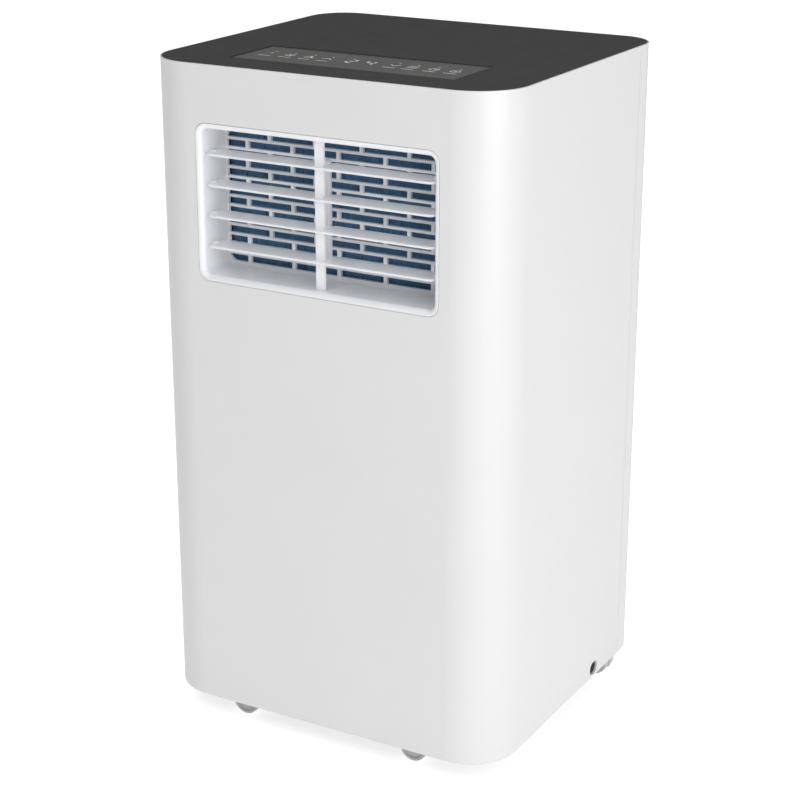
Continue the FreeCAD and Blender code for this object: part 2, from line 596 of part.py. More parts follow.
def louvre_link():
    z0, z1 = LOUVRE_Z[-1] - 3.5, LOUVRE_Z[0] + 3.5
    link = block(-LINK_W / 2, LINK_W / 2, LINK_Y - LINK_T / 2, LINK_Y + LINK_T / 2, z0, z1)
    for z in LOUVRE_Z:
        link = link.cut(rod(LINK_PIN_R + RUNNING, LINK_W + 2, V(-LINK_W / 2 - 1, LINK_Y, z), X))
    return link


def outlet_guard():
    """Plate of staggered brick-shaped slots that keeps fingers off the evaporator."""
    plate = window(*FLANGE, GUARD_Y, GUARD_Y + GUARD_T, OUTLET_Z)
    plate = joined([plate] + ears(GUARD_Y, GUARD_Y + GUARD_T))
    half = DUCT_W / 2 - 1
    middle = OUTLET_Z - GUARD_DROP
    y0, y1 = GUARD_Y - 1, GUARD_Y + GUARD_T + 1
    slots = []
    for row in range(GUARD_ROWS):
        z = middle + GUARD_ROW_PITCH * ((GUARD_ROWS - 1) / 2 - row)
        joint = -3 * GUARD_BRICK + GUARD_BRICK / 2 * ((row + 1) % 2)
        while joint < half:
            x0 = max(joint + GUARD_JOINT / 2, -half)
            x1 = min(joint + GUARD_BRICK - GUARD_JOINT / 2, half)
            if x1 - x0 > 2:
                slots.append(block(x0, x1, y0, y1, z - GUARD_SLOT_H / 2, z + GUARD_SLOT_H / 2))
            joint += GUARD_BRICK
    field_h = GUARD_ROW_PITCH * (GUARD_ROWS - 1) + GUARD_SLOT_H
    field = window(2 * half, field_h, GUARD_CORNER_R, y0, y1, middle)
    plate = plate.cut(Part.makeCompound(slots).common(field))
    for x, z in EARS:
        plate = plate.cut(rod(SCREW_R, GUARD_T + 2, V(x, GUARD_Y - 1, z), Y))
    return plate


def evaporator_seal():
    y0 = GUARD_Y + GUARD_T
    ring = window(DUCT_W + 8, DUCT_H + 12, 5, y0, y0 + SEAL_T, OUTLET_Z)
    return ring.cut(window(DUCT_W + 1, DUCT_H + 2, 3, y0 - 1, y0 + SEAL_T + 1, OUTLET_Z))


# ---------------------------------------------------------------- coils and pipes
def coil_rows(z0, z1):
    """Heights of the tube runs. The number is even, so both ends come out on the same side."""
    count = int((z1 - z0 - 2 * COIL_TUBE_R) // COIL_TUBE_PITCH) // 2 * 2
    first = (z0 + z1) / 2 - COIL_TUBE_PITCH * (count - 1) / 2
    return [first + COIL_TUBE_PITCH * i for i in range(count)]


def coil_end(w, y, z0, z1, row):
    return V(w / 2 + 8, y + COIL_T / 2, coil_rows(z0, z1)[row])


def coil_fins(w, y, z0, z1):
    """Fin pack between two end plates, all drilled for the tube. Grooves mark the groups of fins."""
    half = w / 2 - COIL_PLATE_T
    grooves = []
    for i in range(1, 12):
        x = -half + 2 * half * i / 12
        for face in (y - 1, y + COIL_T - 0.6):
            grooves.append(block(x - 0.4, x + 0.4, face, face + 1.6, z0 - 1, z1 + 1))
    holes = [rod(COIL_TUBE_R, w + 2, V(-w / 2 - 1, y + COIL_T / 2, z), X) for z in coil_rows(z0, z1)]
    pack = block(-half, half, y, y + COIL_T, z0, z1).cut(Part.makeCompound(grooves))
    solids = [pack] + [block(x, x + COIL_PLATE_T, y, y + COIL_T, z0, z1) for x in (-w / 2, half)]
    return Part.makeCompound([solid.cut(Part.makeCompound(holes)) for solid in solids])


def coil_tube(w, y, z0, z1):
    """One serpentine tube that runs through every row of holes."""
    rows = coil_rows(z0, z1)
    reach, middle = w / 2 + 12, y + COIL_T / 2
    points = [tuple(coil_end(w, y, z0, z1, 0))]
    for i, (z, following) in enumerate(zip(rows, rows[1:])):
        side = -1 if i % 2 == 0 else 1
        points += [(side * reach, middle, z), (side * reach, middle, following)]
    points.append(tuple(coil_end(w, y, z0, z1, -1)))
    return tube(points, COIL_TUBE_R, COIL_TUBE_PITCH / 2 - 0.01)


def discharge_pipe():
    """Hot gas from the compressor's top to the condenser's upper end."""
    end = coil_end(*CONDENSER, -1)
    top = FOOT_Z + COMPRESSOR_H
    x, y = COMPRESSOR_X, COMPRESSOR_Y + 26
    points = [(x, y, top - 3), (x, y, top + 20), (146, y, top + 20), (146, end.y, top + 20),
              (146, end.y, end.z), end]
    return tube(points, PIPE_R, 9)


def liquid_pipe():
    """Thin pipe from the condenser's lower end, up through the deck, to the evaporator's lower end."""
    start, end = coil_end(*CONDENSER, 0), coil_end(*EVAPORATOR, 0)
    points = [start, (160, start.y, start.z), (160, 60, start.z), (160, 60, 330), (LIQUID_X, end.y, 330),
              (LIQUID_X, end.y, end.z), end]
    return tube(points, LIQUID_PIPE_R, PIPE_BEND)


def suction_pipe():
    """Cold gas from the evaporator's upper end, down through the deck, to the accumulator."""
    start = coil_end(*EVAPORATOR, -1)
    points = [start, (SUCTION_X, start.y, start.z), (SUCTION_X, start.y, 290),
              (ACCUMULATOR_X, COMPRESSOR_Y, 290), (ACCUMULATOR_X, COMPRESSOR_Y, ACCUMULATOR_Z[1] - 2)]
    return tube(points, PIPE_R, PIPE_BEND)


def drip_tray():
    """Tray under the evaporator, with two ribs that the evaporator stands on."""
    z0, z1 = DECK_Z + DECK_T, EVAPORATOR_Z[0]
    y0, y1 = EVAPORATOR_Y - 3, EVAPORATOR_Y + COIL_T + 6
    tray = block(-136, 136, y0, y1, z0, z1 - 2).cut(block(-134, 134, y0 + 2, y1 - 2, z0 + 2, z1))
    ribs = [block(x - 3, x + 3, y0 + 6, y1 - 8, z0 + 1, z1) for x in (-90, 90)]
    return joined([tray] + ribs)


# ---------------------------------------------------------------- blowers
def scroll_solid(small, large, mouth, low, high, half_w, at):
    """Inside of a scroll casing. at(u, v, w) places a point; the mouth faces -u and w is the axis."""
    steps = 12
    points = []
    for i in range(steps + 1):
        a = math.radians(90 - 240 * i / steps)
        r = large + (small - large) * i / steps
        points.append(at(r * math.cos(a), r * math.sin(a), -half_w))
    spiral = Part.BSplineCurve()
    spiral.interpolate(points)
    top, bottom = at(-mouth, high, -half_w), at(-mouth, low, -half_w)
    outline = [Part.makeLine(top, points[0]), spiral.toShape(), Part.makeLine(points[-1], bottom),
               Part.makeLine(bottom, top)]
    return Part.Face(Part.Wire(outline)).extrude(at(0, 0, half_w) - at(0, 0, -half_w))


def scroll(small, large, mouth, low, high, half_w, at):
    t = SCROLL_T
    outer = scroll_solid(small + t, large + t, mouth, low - t, high + t, half_w + t, at)
    return outer.cut(scroll_solid(small, large, mouth + 1, low, high, half_w, at))


def fan_wheel(r, half_w, web_w, blades):
    """Forward-curved wheel about Z: a web disc, a ring of blades and a ring at each end."""
    depth = r * 0.2
    blade = Part.makeBox(depth, 1.6, 2 * half_w, V(r - depth - 0.6, -0.8, -half_w))
    blade.rotate(V(r - depth / 2, 0, 0), Z, 32)
    pieces = [turned(blade, V(0, 0, 0), Z, 360.0 * i / blades) for i in range(blades)]
    for w in (-half_w, half_w - 3):
        pieces.append(rod(r, 3, V(0, 0, w), Z).cut(rod(r - depth - 1, 5, V(0, 0, w - 1), Z)))
    pieces.append(rod(r - 0.5, 2.5, V(0, 0, web_w), Z))
    pieces.append(rod(SHAFT_R * 2.4, 16, V(0, 0, web_w), Z))
    wheel = joined(pieces).common(rod(r, 2 * half_w, V(0, 0, -half_w), Z))
    return wheel.cut(rod(SHAFT_R, 4 * half_w, V(0, 0, -2 * half_w), Z))


def placed(shape, at, axis):
    shape.Placement = FreeCAD.Placement(at(0, 0, 0), FreeCAD.Rotation(Z, axis))
    return shape


def motor(start, axis):
    """Fan motor can whose shaft side faces against the axis."""
    can = rod(MOTOR_R, MOTOR_L, start, axis)
    can = can.makeFillet(3, [e for e in can.Edges if e.Curve.TypeId == "Part::GeomCircle"])
    boss = rod(SHAFT_R * 2.5, 6, start - axis * 6, axis)
    return joined([can, boss]).cut(rod(SHAFT_R + RUNNING, MOTOR_L / 2 + 6, start - axis * 6, axis))


def blower_at(u, v, w):
    return V(w, BLOWER_Y + u, OUTLET_Z + v)


def blower_scroll():
    shape = (BLOWER_SMALL_R, BLOWER_LARGE_R, BLOWER_MOUTH, *BLOWER_MOUTH_Z, BLOWER_HALF_W)
    casing, room = scroll(*shape, blower_at), scroll_solid(*shape, blower_at)
    feet = []
    for side in (-1, 1):
        x = side * (BLOWER_HALF_W - 10)
        foot_top = OUTLET_Z - BLOWER_SMALL_R
        feet.append(block(x - 8, x + 8, BLOWER_Y - 10, BLOWER_Y + 30, DECK_Z + DECK_T, foot_top))
    casing = joined([casing] + [foot.cut(room) for foot in feet])
    span = BLOWER_HALF_W + SCROLL_T + 1
    return casing.cut(rod(BLOWER_WHEEL_R - 8, 2 * span, blower_at(0, 0, -span), X))


def blower_plenum():
    """Sheet duct that spreads the scroll's mouth to the full face of the evaporator."""
    low, high = BLOWER_MOUTH_Z
    y0, y1 = EVAPORATOR_Y + COIL_T, BLOWER_Y - BLOWER_MOUTH
    shapes = []
    for t, over in ((SCROLL_T, 0), (0, 0.01)):
        half_w, half_h = EVAPORATOR_W / 2 - 2 + t, EVAPORATOR_H / 2 - 2 + t
        wide = (-half_w, half_w, OUTLET_Z - half_h, OUTLET_Z + half_h)
        tight = (-BLOWER_HALF_W - t, BLOWER_HALF_W + t, OUTLET_Z + low - t, OUTLET_Z + high + t)
        shapes.append(pyramid(wide, tight, y0 - over, y1 + over))
    return shapes[0].cut(shapes[1])


def blower_wheel():
    return placed(fan_wheel(BLOWER_WHEEL_R, BLOWER_WHEEL_W / 2, -8, 24), blower_at, X)


def blower_shaft():
    return rod(SHAFT_R, BLOWER_MOTOR_X + MOTOR_L / 2 - 1 + 12, blower_at(0, 0, -12), X)


def blower_motor():
    return motor(blower_at(0, 0, BLOWER_MOTOR_X), X)


def blower_motor_bracket():
    """Three-armed spider that carries the motor on the side of the scroll."""
    x0, x1 = BLOWER_HALF_W + SCROLL_T, BLOWER_MOTOR_X + 14
    ring = rod(BLOWER_WHEEL_R + 4, 3, blower_at(0, 0, x0), X)
    ring = ring.cut(rod(BLOWER_WHEEL_R - 6, 5, blower_at(0, 0, x0 - 1), X))
    cup = rod(MOTOR_R + 3, 14, blower_at(0, 0, BLOWER_MOTOR_X), X)
    arm = block(x0, x1, BLOWER_Y - 5, BLOWER_Y + 5, OUTLET_Z + MOTOR_R + 1, OUTLET_Z + BLOWER_WHEEL_R)
    arms = [turned(arm, blower_at(0, 0, 0), X, 120 * i + 60) for i in range(3)]
    return joined([ring, cup] + arms).cut(rod(MOTOR_R, 60, blower_at(0, 0, x0 - 1), X))


def condenser_at(u, v, w):
    return V(CONDENSER_WHEEL_X + v, CONDENSER_FAN_Y + w, CONDENSER_WHEEL_Z - u)


def condenser_scroll():
    """Scroll whose mouth faces up. The motor sits in its front wall and the inlet faces the condenser."""
    shape = (CONDENSER_SMALL_R, CONDENSER_LARGE_R, CONDENSER_MOUTH, *CONDENSER_MOUTH_X, CONDENSER_HALF_W)
    casing = scroll(*shape, condenser_at)
    casing = casing.cut(rod(CONDENSER_WHEEL_R - 8, 10, condenser_at(0, 0, CONDENSER_HALF_W - 1), Y))
    x, y = CONDENSER_WHEEL_X, CONDENSER_FAN_Y
    foot = block(x - 20, x + 20, y - 10, y + 10, PAN_FLOOR, CONDENSER_WHEEL_Z - CONDENSER_SMALL_R - 4)
    casing = joined([casing, foot.cut(scroll_solid(*shape, condenser_at))])
    return casing.cut(rod(MOTOR_R, 20, condenser_at(0, 0, -CONDENSER_HALF_W - SCROLL_T - 10), Y))


def condenser_wheel():
    half_w = CONDENSER_WHEEL_W / 2
    return placed(fan_wheel(CONDENSER_WHEEL_R, half_w, 2 - half_w, 26), condenser_at, Y)


def condenser_motor():
    """The can is turned so its shaft side faces the wheel."""
    return motor(condenser_at(0, 0, -CONDENSER_HALF_W - 0.5), -Y)


def condenser_shaft():
    length = CONDENSER_HALF_W + MOTOR_L / 2
    return rod(SHAFT_R, length, condenser_at(0, 0, -CONDENSER_HALF_W - MOTOR_L / 2 + 1), Y)


def exhaust_duct():
    """Box from the scroll's mouth to the collar, with a finger guard in its way out."""
    x0, x1 = DUCT_X
    z0, z1 = DUCT_Z
    y0, y1 = CONDENSER_FAN_Y - CONDENSER_HALF_W, REAR_Y - COLLAR_L + 4
    t = SCROLL_T
    box = block(x0 - t, x1 + t, y0 - t, y1, z0, z1).cut(block(x0, x1, y0, y1 - t, z0 + t, z1 - t))
    box = box.cut(block(x0, x1, y0, CONDENSER_FAN_Y + CONDENSER_HALF_W, z0 - 1, z0 + t + 1))
    window_r = COLLAR_R - 2
    box = box.cut(rod(window_r, 10, V(0, y1 - 5, COLLAR_Z), Y))
    bars = []
    for x in range(-60, 61, 12):
        reach = math.sqrt((window_r + 1) ** 2 - x ** 2)
        bars.append(block(x - 0.8, x + 0.8, y1 - t, y1, COLLAR_Z - reach, COLLAR_Z + reach))
    for z in (-24, 24):
        reach = math.sqrt((window_r + 1) ** 2 - z ** 2)
        bars.append(block(-reach, reach, y1 - t, y1, COLLAR_Z + z - 0.8, COLLAR_Z + z + 0.8))
    return joined([box] + bars)


def exhaust_collar():
    """Round socket for the exhaust hose, with a flange against the duct."""
    y0 = REAR_Y - COLLAR_L + 4
    ring = rod(COLLAR_R + COLLAR_T, REAR_Y - y0, V(0, y0, COLLAR_Z), Y)
    flange = rod(COLLAR_R + 5.5, 2.0, V(0, y0, COLLAR_Z), Y)
    return joined([ring, flange]).cut(rod(COLLAR_R, COLLAR_L + 2, V(0, y0 - 1, COLLAR_Z), Y))


# ---------------------------------------------------------------- compressor
def compressor():
    """Rotary compressor: a welded can on a three-eared base plate, with its terminal cover on top."""
    z0, z1 = FOOT_Z - 4, FOOT_Z + COMPRESSOR_H
    x, y = COMPRESSOR_X, COMPRESSOR_Y
    can = rod(COMPRESSOR_R, z1 - z0, V(x, y, z0), Z)
    can = can.makeFillet(14, [e for e in can.Edges if e.BoundBox.ZMin > z1 - 1])
    plate = rod(COMPRESSOR_R + 4, 3, V(x, y, FOOT_Z), Z)
    pad = rod(11, 3, V(x + COMPRESSOR_FOOT_R, y, FOOT_Z), Z)
    arm = pad.fuse(block(x, x + COMPRESSOR_FOOT_R, y - 11, y + 11, FOOT_Z, FOOT_Z + 3))
    arms = [turned(arm, V(x, y, 0), Z, a) for a in (90, 210, 330)]
    terminal = rod(17, 12, V(x, y - 12, z1 - 1), Z)
    seam = rod(COMPRESSOR_R + 1, 3, V(x, y, z1 - 40), Z)
    near, far = x + 40, ACCUMULATOR_X - ACCUMULATOR_R + 1
    stub = rod(PIPE_R, far - near, V(near, y, 100), X)
    strap = block(near, far, y - 6, y + 6, 150, 153)
    whole = joined([can, plate, terminal, seam, stub, strap] + arms)
    for foot_x, foot_y in COMPRESSOR_FEET:
        whole = whole.cut(rod(BOLT_R, 6, V(foot_x, foot_y, FOOT_Z - 1), Z))
    whole = whole.cut(rod(PIPE_R, 20, V(x, y + 26, z1 - 3), Z))
    return whole.cut(rod(ACCUMULATOR_R, 200, V(ACCUMULATOR_X, COMPRESSOR_Y, 50), Z))


def accumulator():
    z0, z1 = ACCUMULATOR_Z
    can = rod(ACCUMULATOR_R, z1 - z0, V(ACCUMULATOR_X, COMPRESSOR_Y, z0), Z)
    can = can.makeFillet(9, [e for e in can.Edges if e.Curve.TypeId == "Part::GeomCircle"])
    return can.cut(rod(PIPE_R, 10, V(ACCUMULATOR_X, COMPRESSOR_Y, z1 - 2), Z))


def compressor_mounts():
    mounts = []
    for x, y in COMPRESSOR_FEET:
        lower, upper = rod(10, 5, V(x, y, BOSS_Z), Z), rod(10, 4, V(x, y, FOOT_Z - 4), Z)
        neck = rod(8, FOOT_Z - BOSS_Z, V(x, y, BOSS_Z), Z)
        mounts.append(joined([lower, neck, upper]).cut(rod(BOLT_R, 40, V(x, y, BOSS_Z - 1), Z)))
    return Part.makeCompound(mounts)


def compressor_bolts():
    bolts = []
    for x, y in COMPRESSOR_FEET:
        shank = rod(BOLT_R, FOOT_Z + 3 - BOSS_Z + 9, V(x, y, BOSS_Z - 9), Z)
        washer = rod(8, 1.2, V(x, y, FOOT_Z + 3), Z)
        hexagon = [V(x + 6.9 * math.cos(math.radians(a)), y + 6.9 * math.sin(math.radians(a)), FOOT_Z + 4.2)
                   for a in range(0, 361, 60)]
        bolts.append(joined([shank, washer, Part.Face(Part.makePolygon(hexagon)).extrude(Z * 5)]))
    return Part.makeCompound(bolts)


# ---------------------------------------------------------------- electrics
def electrical_box():
    """Sheet box beside the evaporator, open towards the middle and closed by its cover."""
    (x0, x1), (y0, y1), (z0, z1) = BOX_X, BOX_Y, BOX_Z
    t = BOX_T
    box = block(x0, x1, y0, y1, z0, z1).cut(block(x0 + t, x1 + 1, y0 + t, y1 - t, z0 + t, z1 - t))
    deck_top = DECK_Z + DECK_T
    feet = [block(x0 + 2, x1 - 2, y - 6, y + 6, deck_top, z0) for y in (y0 + 30, y1 - 16)]
    posts = [rod(2.5, 5, V(x0 + t, y, z), X) for y in (y0 + 12, y1 - 12) for z in (z0 + 60, z1 - 12)]
    hole = rod(6, 6, V(x0 + 15, y1 - 3, z0 + 20), Y)
    return joined([box] + feet + posts).cut(hole)


def electrical_cover():
    x1 = BOX_X[1]
    cover = block(x1, x1 + 1.2, *BOX_Y, *BOX_Z)
    slots = []
    for i in range(6):
        z = BOX_Z[1] - 20 - i * 8
        slots.append(block(x1 - 1, x1 + 2, BOX_Y[0] + 20, BOX_Y[0] + 60, z, z + 3))
    return cover.cut(Part.makeCompound(slots))


def power_board():
    x0 = BOX_X[0] + BOX_T + 5
    y0, y1 = BOX_Y[0] + 6, BOX_Y[1] - 6
    board = block(x0, x0 + BOARD_T, y0, y1, BOX_Z[0] + 52, BOX_Z[1] - 6)
    top = x0 + BOARD_T
    parts = [
        block(top, top + 16, y0 + 8, y0 + 36, BOX_Z[1] - 40, BOX_Z[1] - 14),
        block(top, top + 14, y0 + 44, y0 + 60, BOX_Z[1] - 38, BOX_Z[1] - 14),
        block(top, top + 14, y0 + 66, y0 + 82, BOX_Z[1] - 38, BOX_Z[1] - 14),
        block(top, top + 9, y0 + 10, y0 + 90, BOX_Z[0] + 56, BOX_Z[0] + 66),
        rod(6, 15, V(top, y1 - 12, BOX_Z[1] - 50), X),
    ]
    return joined([board] + parts)


def run_capacitor():
    x, z = BOX_X[0] + BOX_T + 13, BOX_Z[0] + BOX_T + 20
    can = rod(12.5, 70, V(x, BOX_Y[0] + 12, z), Y)
    tabs = [block(x + dx - 0.4, x + dx + 0.4, BOX_Y[0] + 80, BOX_Y[0] + 90, z - 3, z + 3) for dx in (-5, 5)]
    strap = block(x - 13, x + 12.5, BOX_Y[0] + 40, BOX_Y[0] + 52, BOX_Z[0] + BOX_T, z)
    return joined([can, strap] + tabs)


# ---------------------------------------------------------------- casters
def caster_frame(shape, name):
    """Move a caster part from its own frame, where it trails towards +X, to its place."""
    x, y, heading = CASTERS[name]
    shape = turned(shape, V(0, 0, 0), Z, heading)
    shape.translate(V(x, y, 0))
    return shape


def caster_yoke(name):
    """Swivel body: stem, web between the wheels, a hood over them and the steel pin pressed through."""
    width = CASTER_WEB_T / 2 + FIT + WHEEL_T
    hood = rod(WHEEL_R + 2, 2 * width, V(CASTER_TRAIL, -width, WHEEL_R), Y)
    hood = hood.cut(rod(WHEEL_R + 0.6, 2 * width + 2, V(CASTER_TRAIL, -width - 1, WHEEL_R), Y))
    hood = hood.cut(block(-30, 40, -20, 20, -5, WHEEL_R + 4))
    web = rod(WHEEL_R + 1, CASTER_WEB_T, V(CASTER_TRAIL, -CASTER_WEB_T / 2, WHEEL_R), Y)
    web = web.cut(block(-30, 40, -20, 20, -5, 7))
    neck = rod(7, POCKET_Z - FIT - 26, V(0, 0, 26), Z).common(block(-8, 8, -8, 8, 0, 60))
    neck = neck.cut(rod(WHEEL_R + 0.6, 60, V(CASTER_TRAIL, -30, WHEEL_R), Y))
    stem = rod(CASTER_STEM_R, 53 - 30, V(0, 0, 30), Z)
    body = joined([hood, web, neck, stem]).cut(rod(AXLE_R, 10, V(CASTER_TRAIL, -5, WHEEL_R), Y))
    pin = rod(AXLE_R, 2 * width - 2, V(CASTER_TRAIL, -width + 1, WHEEL_R), Y)
    return caster_frame(Part.makeCompound([body, pin]), name)


def caster_wheels(name):
    """Pair of moulded wheels that turn on the pin."""
    wheels = []
    for side in (-1, 1):
        inner = side * (CASTER_WEB_T / 2 + FIT)
        start = V(CASTER_TRAIL, min(inner, inner + side * WHEEL_T), WHEEL_R)
        wheel = rod(WHEEL_R, WHEEL_T, start, Y)
        wheel = wheel.makeFillet(1.2, [e for e in wheel.Edges if e.Curve.TypeId == "Part::GeomCircle"])
        dish_y = inner + side * (WHEEL_T - 0.8)
        dish = rod(WHEEL_R - 3.5, 1, V(CASTER_TRAIL, min(dish_y, dish_y + side), WHEEL_R), Y)
        dish = dish.cut(rod(4.5, 3, V(CASTER_TRAIL, min(dish_y, dish_y + side) - 1, WHEEL_R), Y))
        bore_y = min(inner, inner + side * (WHEEL_T - 0.9)) - (0.5 if side > 0 else 0)
        bore = rod(AXLE_R + RUNNING, WHEEL_T - 0.4, V(CASTER_TRAIL, bore_y, WHEEL_R), Y)
        wheels.append(wheel.cut(dish).cut(bore))
    return caster_frame(Part.makeCompound(wheels), name)


# ---------------------------------------------------------------- all the parts
def build():
    nodes = {
        "front_shell": front_shell(),
        "rear_shell": rear_shell(),
        "rear_screws": rear_screws(),
        "top_cover": top_cover(),
        "control_panel": control_panel(),
        "display_module": display_module(),
        "control_board": control_board(),
        "base_pan": base_pan(),
        "drain_cap": drain_cap(),
        "cord_gland": cord_gland(),
        "deck": deck(),
        "frame_posts": frame_posts(),
        "upper_filter": intake_filter(*UPPER_FILTER_Z),
        "lower_filter": intake_filter(*LOWER_FILTER_Z),
        "outlet_frame": outlet_frame(),
        "outlet_screws": outlet_screws(),
        "centre_bar": centre_bar(),
        "louvre_link": louvre_link(),
        "outlet_guard": outlet_guard(),
        "evaporator_seal": evaporator_seal(),
        "evaporator_fins": coil_fins(*EVAPORATOR),
        "evaporator_tube": coil_tube(*EVAPORATOR),
        "drip_tray": drip_tray(),
        "blower_plenum": blower_plenum(),
        "blower_scroll": blower_scroll(),
        "blower_wheel": blower_wheel(),
        "blower_shaft": blower_shaft(),
        "blower_motor": blower_motor(),
        "blower_motor_bracket": blower_motor_bracket(),
        "condenser_fins": coil_fins(*CONDENSER),
        "condenser_tube": coil_tube(*CONDENSER),
        "condenser_scroll": condenser_scroll(),
        "condenser_wheel": condenser_wheel(),
        "condenser_motor": condenser_motor(),
        "condenser_shaft": condenser_shaft(),
        "exhaust_duct": exhaust_duct(),
        "exhaust_collar": exhaust_collar(),
        "compressor": compressor(),
        "accumulator": accumulator(),
        "compressor_mounts": compressor_mounts(),
        "compressor_bolts": compressor_bolts(),
        "discharge_pipe": discharge_pipe(),
        "liquid_pipe": liquid_pipe(),
        "suction_pipe": suction_pipe(),
        "electrical_box": electrical_box(),
        "electrical_cover": electrical_cover(),
        "power_board": power_board(),
        "run_capacitor": run_capacitor(),
    }
    for i, z in enumerate(LOUVRE_Z):
        nodes["louvre_%d" % (i + 1)] = louvre(z)
    for name in CASTERS:
        nodes["caster_%s_yoke" % name] = caster_yoke(name)
        nodes["caster_%s_wheels" % name] = caster_wheels(name)
    return nodes


os.makedirs("parts", exist_ok=True)
for node, shape in build().items():
    shape.exportStep("parts/%s.step" % node)
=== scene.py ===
"""Looks of the portable air conditioner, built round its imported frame.

The sections are: shared shader effects, finishes, modelling helpers, new pieces, stage and camera.
Named sizes and the marks of the panel are in millimetres; the stage and the camera are in metres.
"""
import json
import math

import bpy
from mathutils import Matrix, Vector

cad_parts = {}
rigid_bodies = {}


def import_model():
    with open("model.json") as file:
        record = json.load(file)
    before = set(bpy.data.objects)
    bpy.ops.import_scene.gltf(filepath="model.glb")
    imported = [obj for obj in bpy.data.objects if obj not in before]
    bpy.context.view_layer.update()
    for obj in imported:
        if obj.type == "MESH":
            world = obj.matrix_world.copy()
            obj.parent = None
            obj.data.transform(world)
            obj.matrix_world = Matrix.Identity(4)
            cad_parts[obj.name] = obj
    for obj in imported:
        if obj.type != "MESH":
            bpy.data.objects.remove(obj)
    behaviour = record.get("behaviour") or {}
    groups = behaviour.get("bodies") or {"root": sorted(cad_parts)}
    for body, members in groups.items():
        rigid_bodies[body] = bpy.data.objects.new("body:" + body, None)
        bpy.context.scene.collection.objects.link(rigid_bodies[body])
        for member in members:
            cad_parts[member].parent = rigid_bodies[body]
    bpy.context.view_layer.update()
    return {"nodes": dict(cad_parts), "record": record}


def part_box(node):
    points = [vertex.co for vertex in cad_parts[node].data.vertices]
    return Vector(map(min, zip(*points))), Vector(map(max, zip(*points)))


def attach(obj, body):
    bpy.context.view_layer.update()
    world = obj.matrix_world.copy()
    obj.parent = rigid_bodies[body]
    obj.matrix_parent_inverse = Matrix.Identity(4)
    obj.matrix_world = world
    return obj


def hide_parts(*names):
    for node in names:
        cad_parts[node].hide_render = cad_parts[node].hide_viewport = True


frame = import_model()

MM = 0.001

# casters
WHEEL_R = 13.0
WHEEL_W = 6.6
WHEEL_BEVEL = 0.35
WHEEL_SIDES = 72

# print on the touch panel
PANEL_TOP = 621.22           # just above the glass
KEY_ROW = -80.0              # y of the middles of the key symbols
KEY_RING_R = 4.8
KEY_RING_W = 1.1
STROKE = 1.3
LABEL_GAP = 10.5             # from the row to the bar in front of each symbol
LABEL = (12.0, 1.5)
KEY_DOT_GAP = 10.0           # from the row to the dot behind each symbol
KEY_DOT = 2.0
DIGIT_X = 9.0
DIGIT_HALF_W = 3.6
DIGIT_HALF_H = 7.0
SEGMENT = (6.4, 1.5)
INK_T = 0.05

# cloths of the rear filters
FILTER_RAIL = 9.0            # frame of a filter round its cloth
CLOTH_GAP = 0.2              # between a cloth's edge and the rail
CLOTH_BEHIND = 1.15          # from the inner face of a filter to its cloth
CLOTH_T = 0.2
CLOTH_SLACK = 0.12
THREAD_PITCH = 1.25

# fins of both coils
FIN_PITCH = 1.8


# ---------------------------------------------------------------- shared shader effects
def effect(name, inputs, outputs):
    """New node group with named sockets. Returns the group and its input and output nodes."""
    group = bpy.data.node_groups.new(name, "ShaderNodeTree")
    for label, kind, value in inputs:
        socket = group.interface.new_socket(name=label, in_out="INPUT", socket_type=kind)
        if value is not None:
            socket.default_value = value
    for label, kind in outputs:
        group.interface.new_socket(name=label, in_out="OUTPUT", socket_type=kind)
    entry = group.nodes.new("NodeGroupInput")
    leave = group.nodes.new("NodeGroupOutput")
    return group, entry, leave


def node(tree, kind, **settings):
    made = tree.nodes.new(kind)
    for key, value in settings.items():
        setattr(made, key, value)
    return made


def maths(tree, operation, a, b=None, clamp=False):
    made = node(tree, "ShaderNodeMath", operation=operation, use_clamp=clamp)
    for socket, value in zip(made.inputs, (a, b)):
        if isinstance(value, (int, float)):
            socket.default_value = value
        elif value is not None:
            tree.links.new(value, socket)
    return made.outputs[0]


def noise(tree, vector, scale, detail=3.0, roughness=0.55):
    made = node(tree, "ShaderNodeTexNoise")
    made.inputs["Scale"].default_value = scale
    made.inputs["Detail"].default_value = detail
    made.inputs["Roughness"].default_value = roughness
    tree.links.new(vector, made.inputs["Vector"])
    return made.outputs["Fac"]


def ramp(tree, value, low, high, out_low=0.0, out_high=1.0):
    made = node(tree, "ShaderNodeMapRange")
    limits = (("From Min", low), ("From Max", high), ("To Min", out_low), ("To Max", out_high))
    for label, number in limits:
        made.inputs[label].default_value = number
    tree.links.new(value, made.inputs["Value"])
    return made.outputs["Result"]


def moulded_grain():
    """Fine spark-eroded texture of a moulding: a height and a slow tone that drifts over the piece."""
    group, entry, leave = effect(
        "moulded_grain",
        [("Vector", "NodeSocketVector", None), ("Fineness", "NodeSocketFloat", 1.0)],
        [("Height", "NodeSocketFloat"), ("Tone", "NodeSocketFloat")],
    )
    scaled = node(group, "ShaderNodeVectorMath", operation="SCALE")
    group.links.new(entry.outputs["Vector"], scaled.inputs[0])
    group.links.new(entry.outputs["Fineness"], scaled.inputs["Scale"])
    fine = noise(group, scaled.outputs[0], 1400, 2.0)
    coarse = noise(group, scaled.outputs[0], 420, 2.0)
    fine_share = maths(group, "MULTIPLY", fine, 0.7)
    coarse_share = maths(group, "MULTIPLY", coarse, 0.3)
    height = maths(group, "ADD", fine_share, coarse_share)
    slow = noise(group, entry.outputs["Vector"], 9, 4.0)
    group.links.new(height, leave.inputs["Height"])
    group.links.new(slow, leave.inputs["Tone"])
    return group


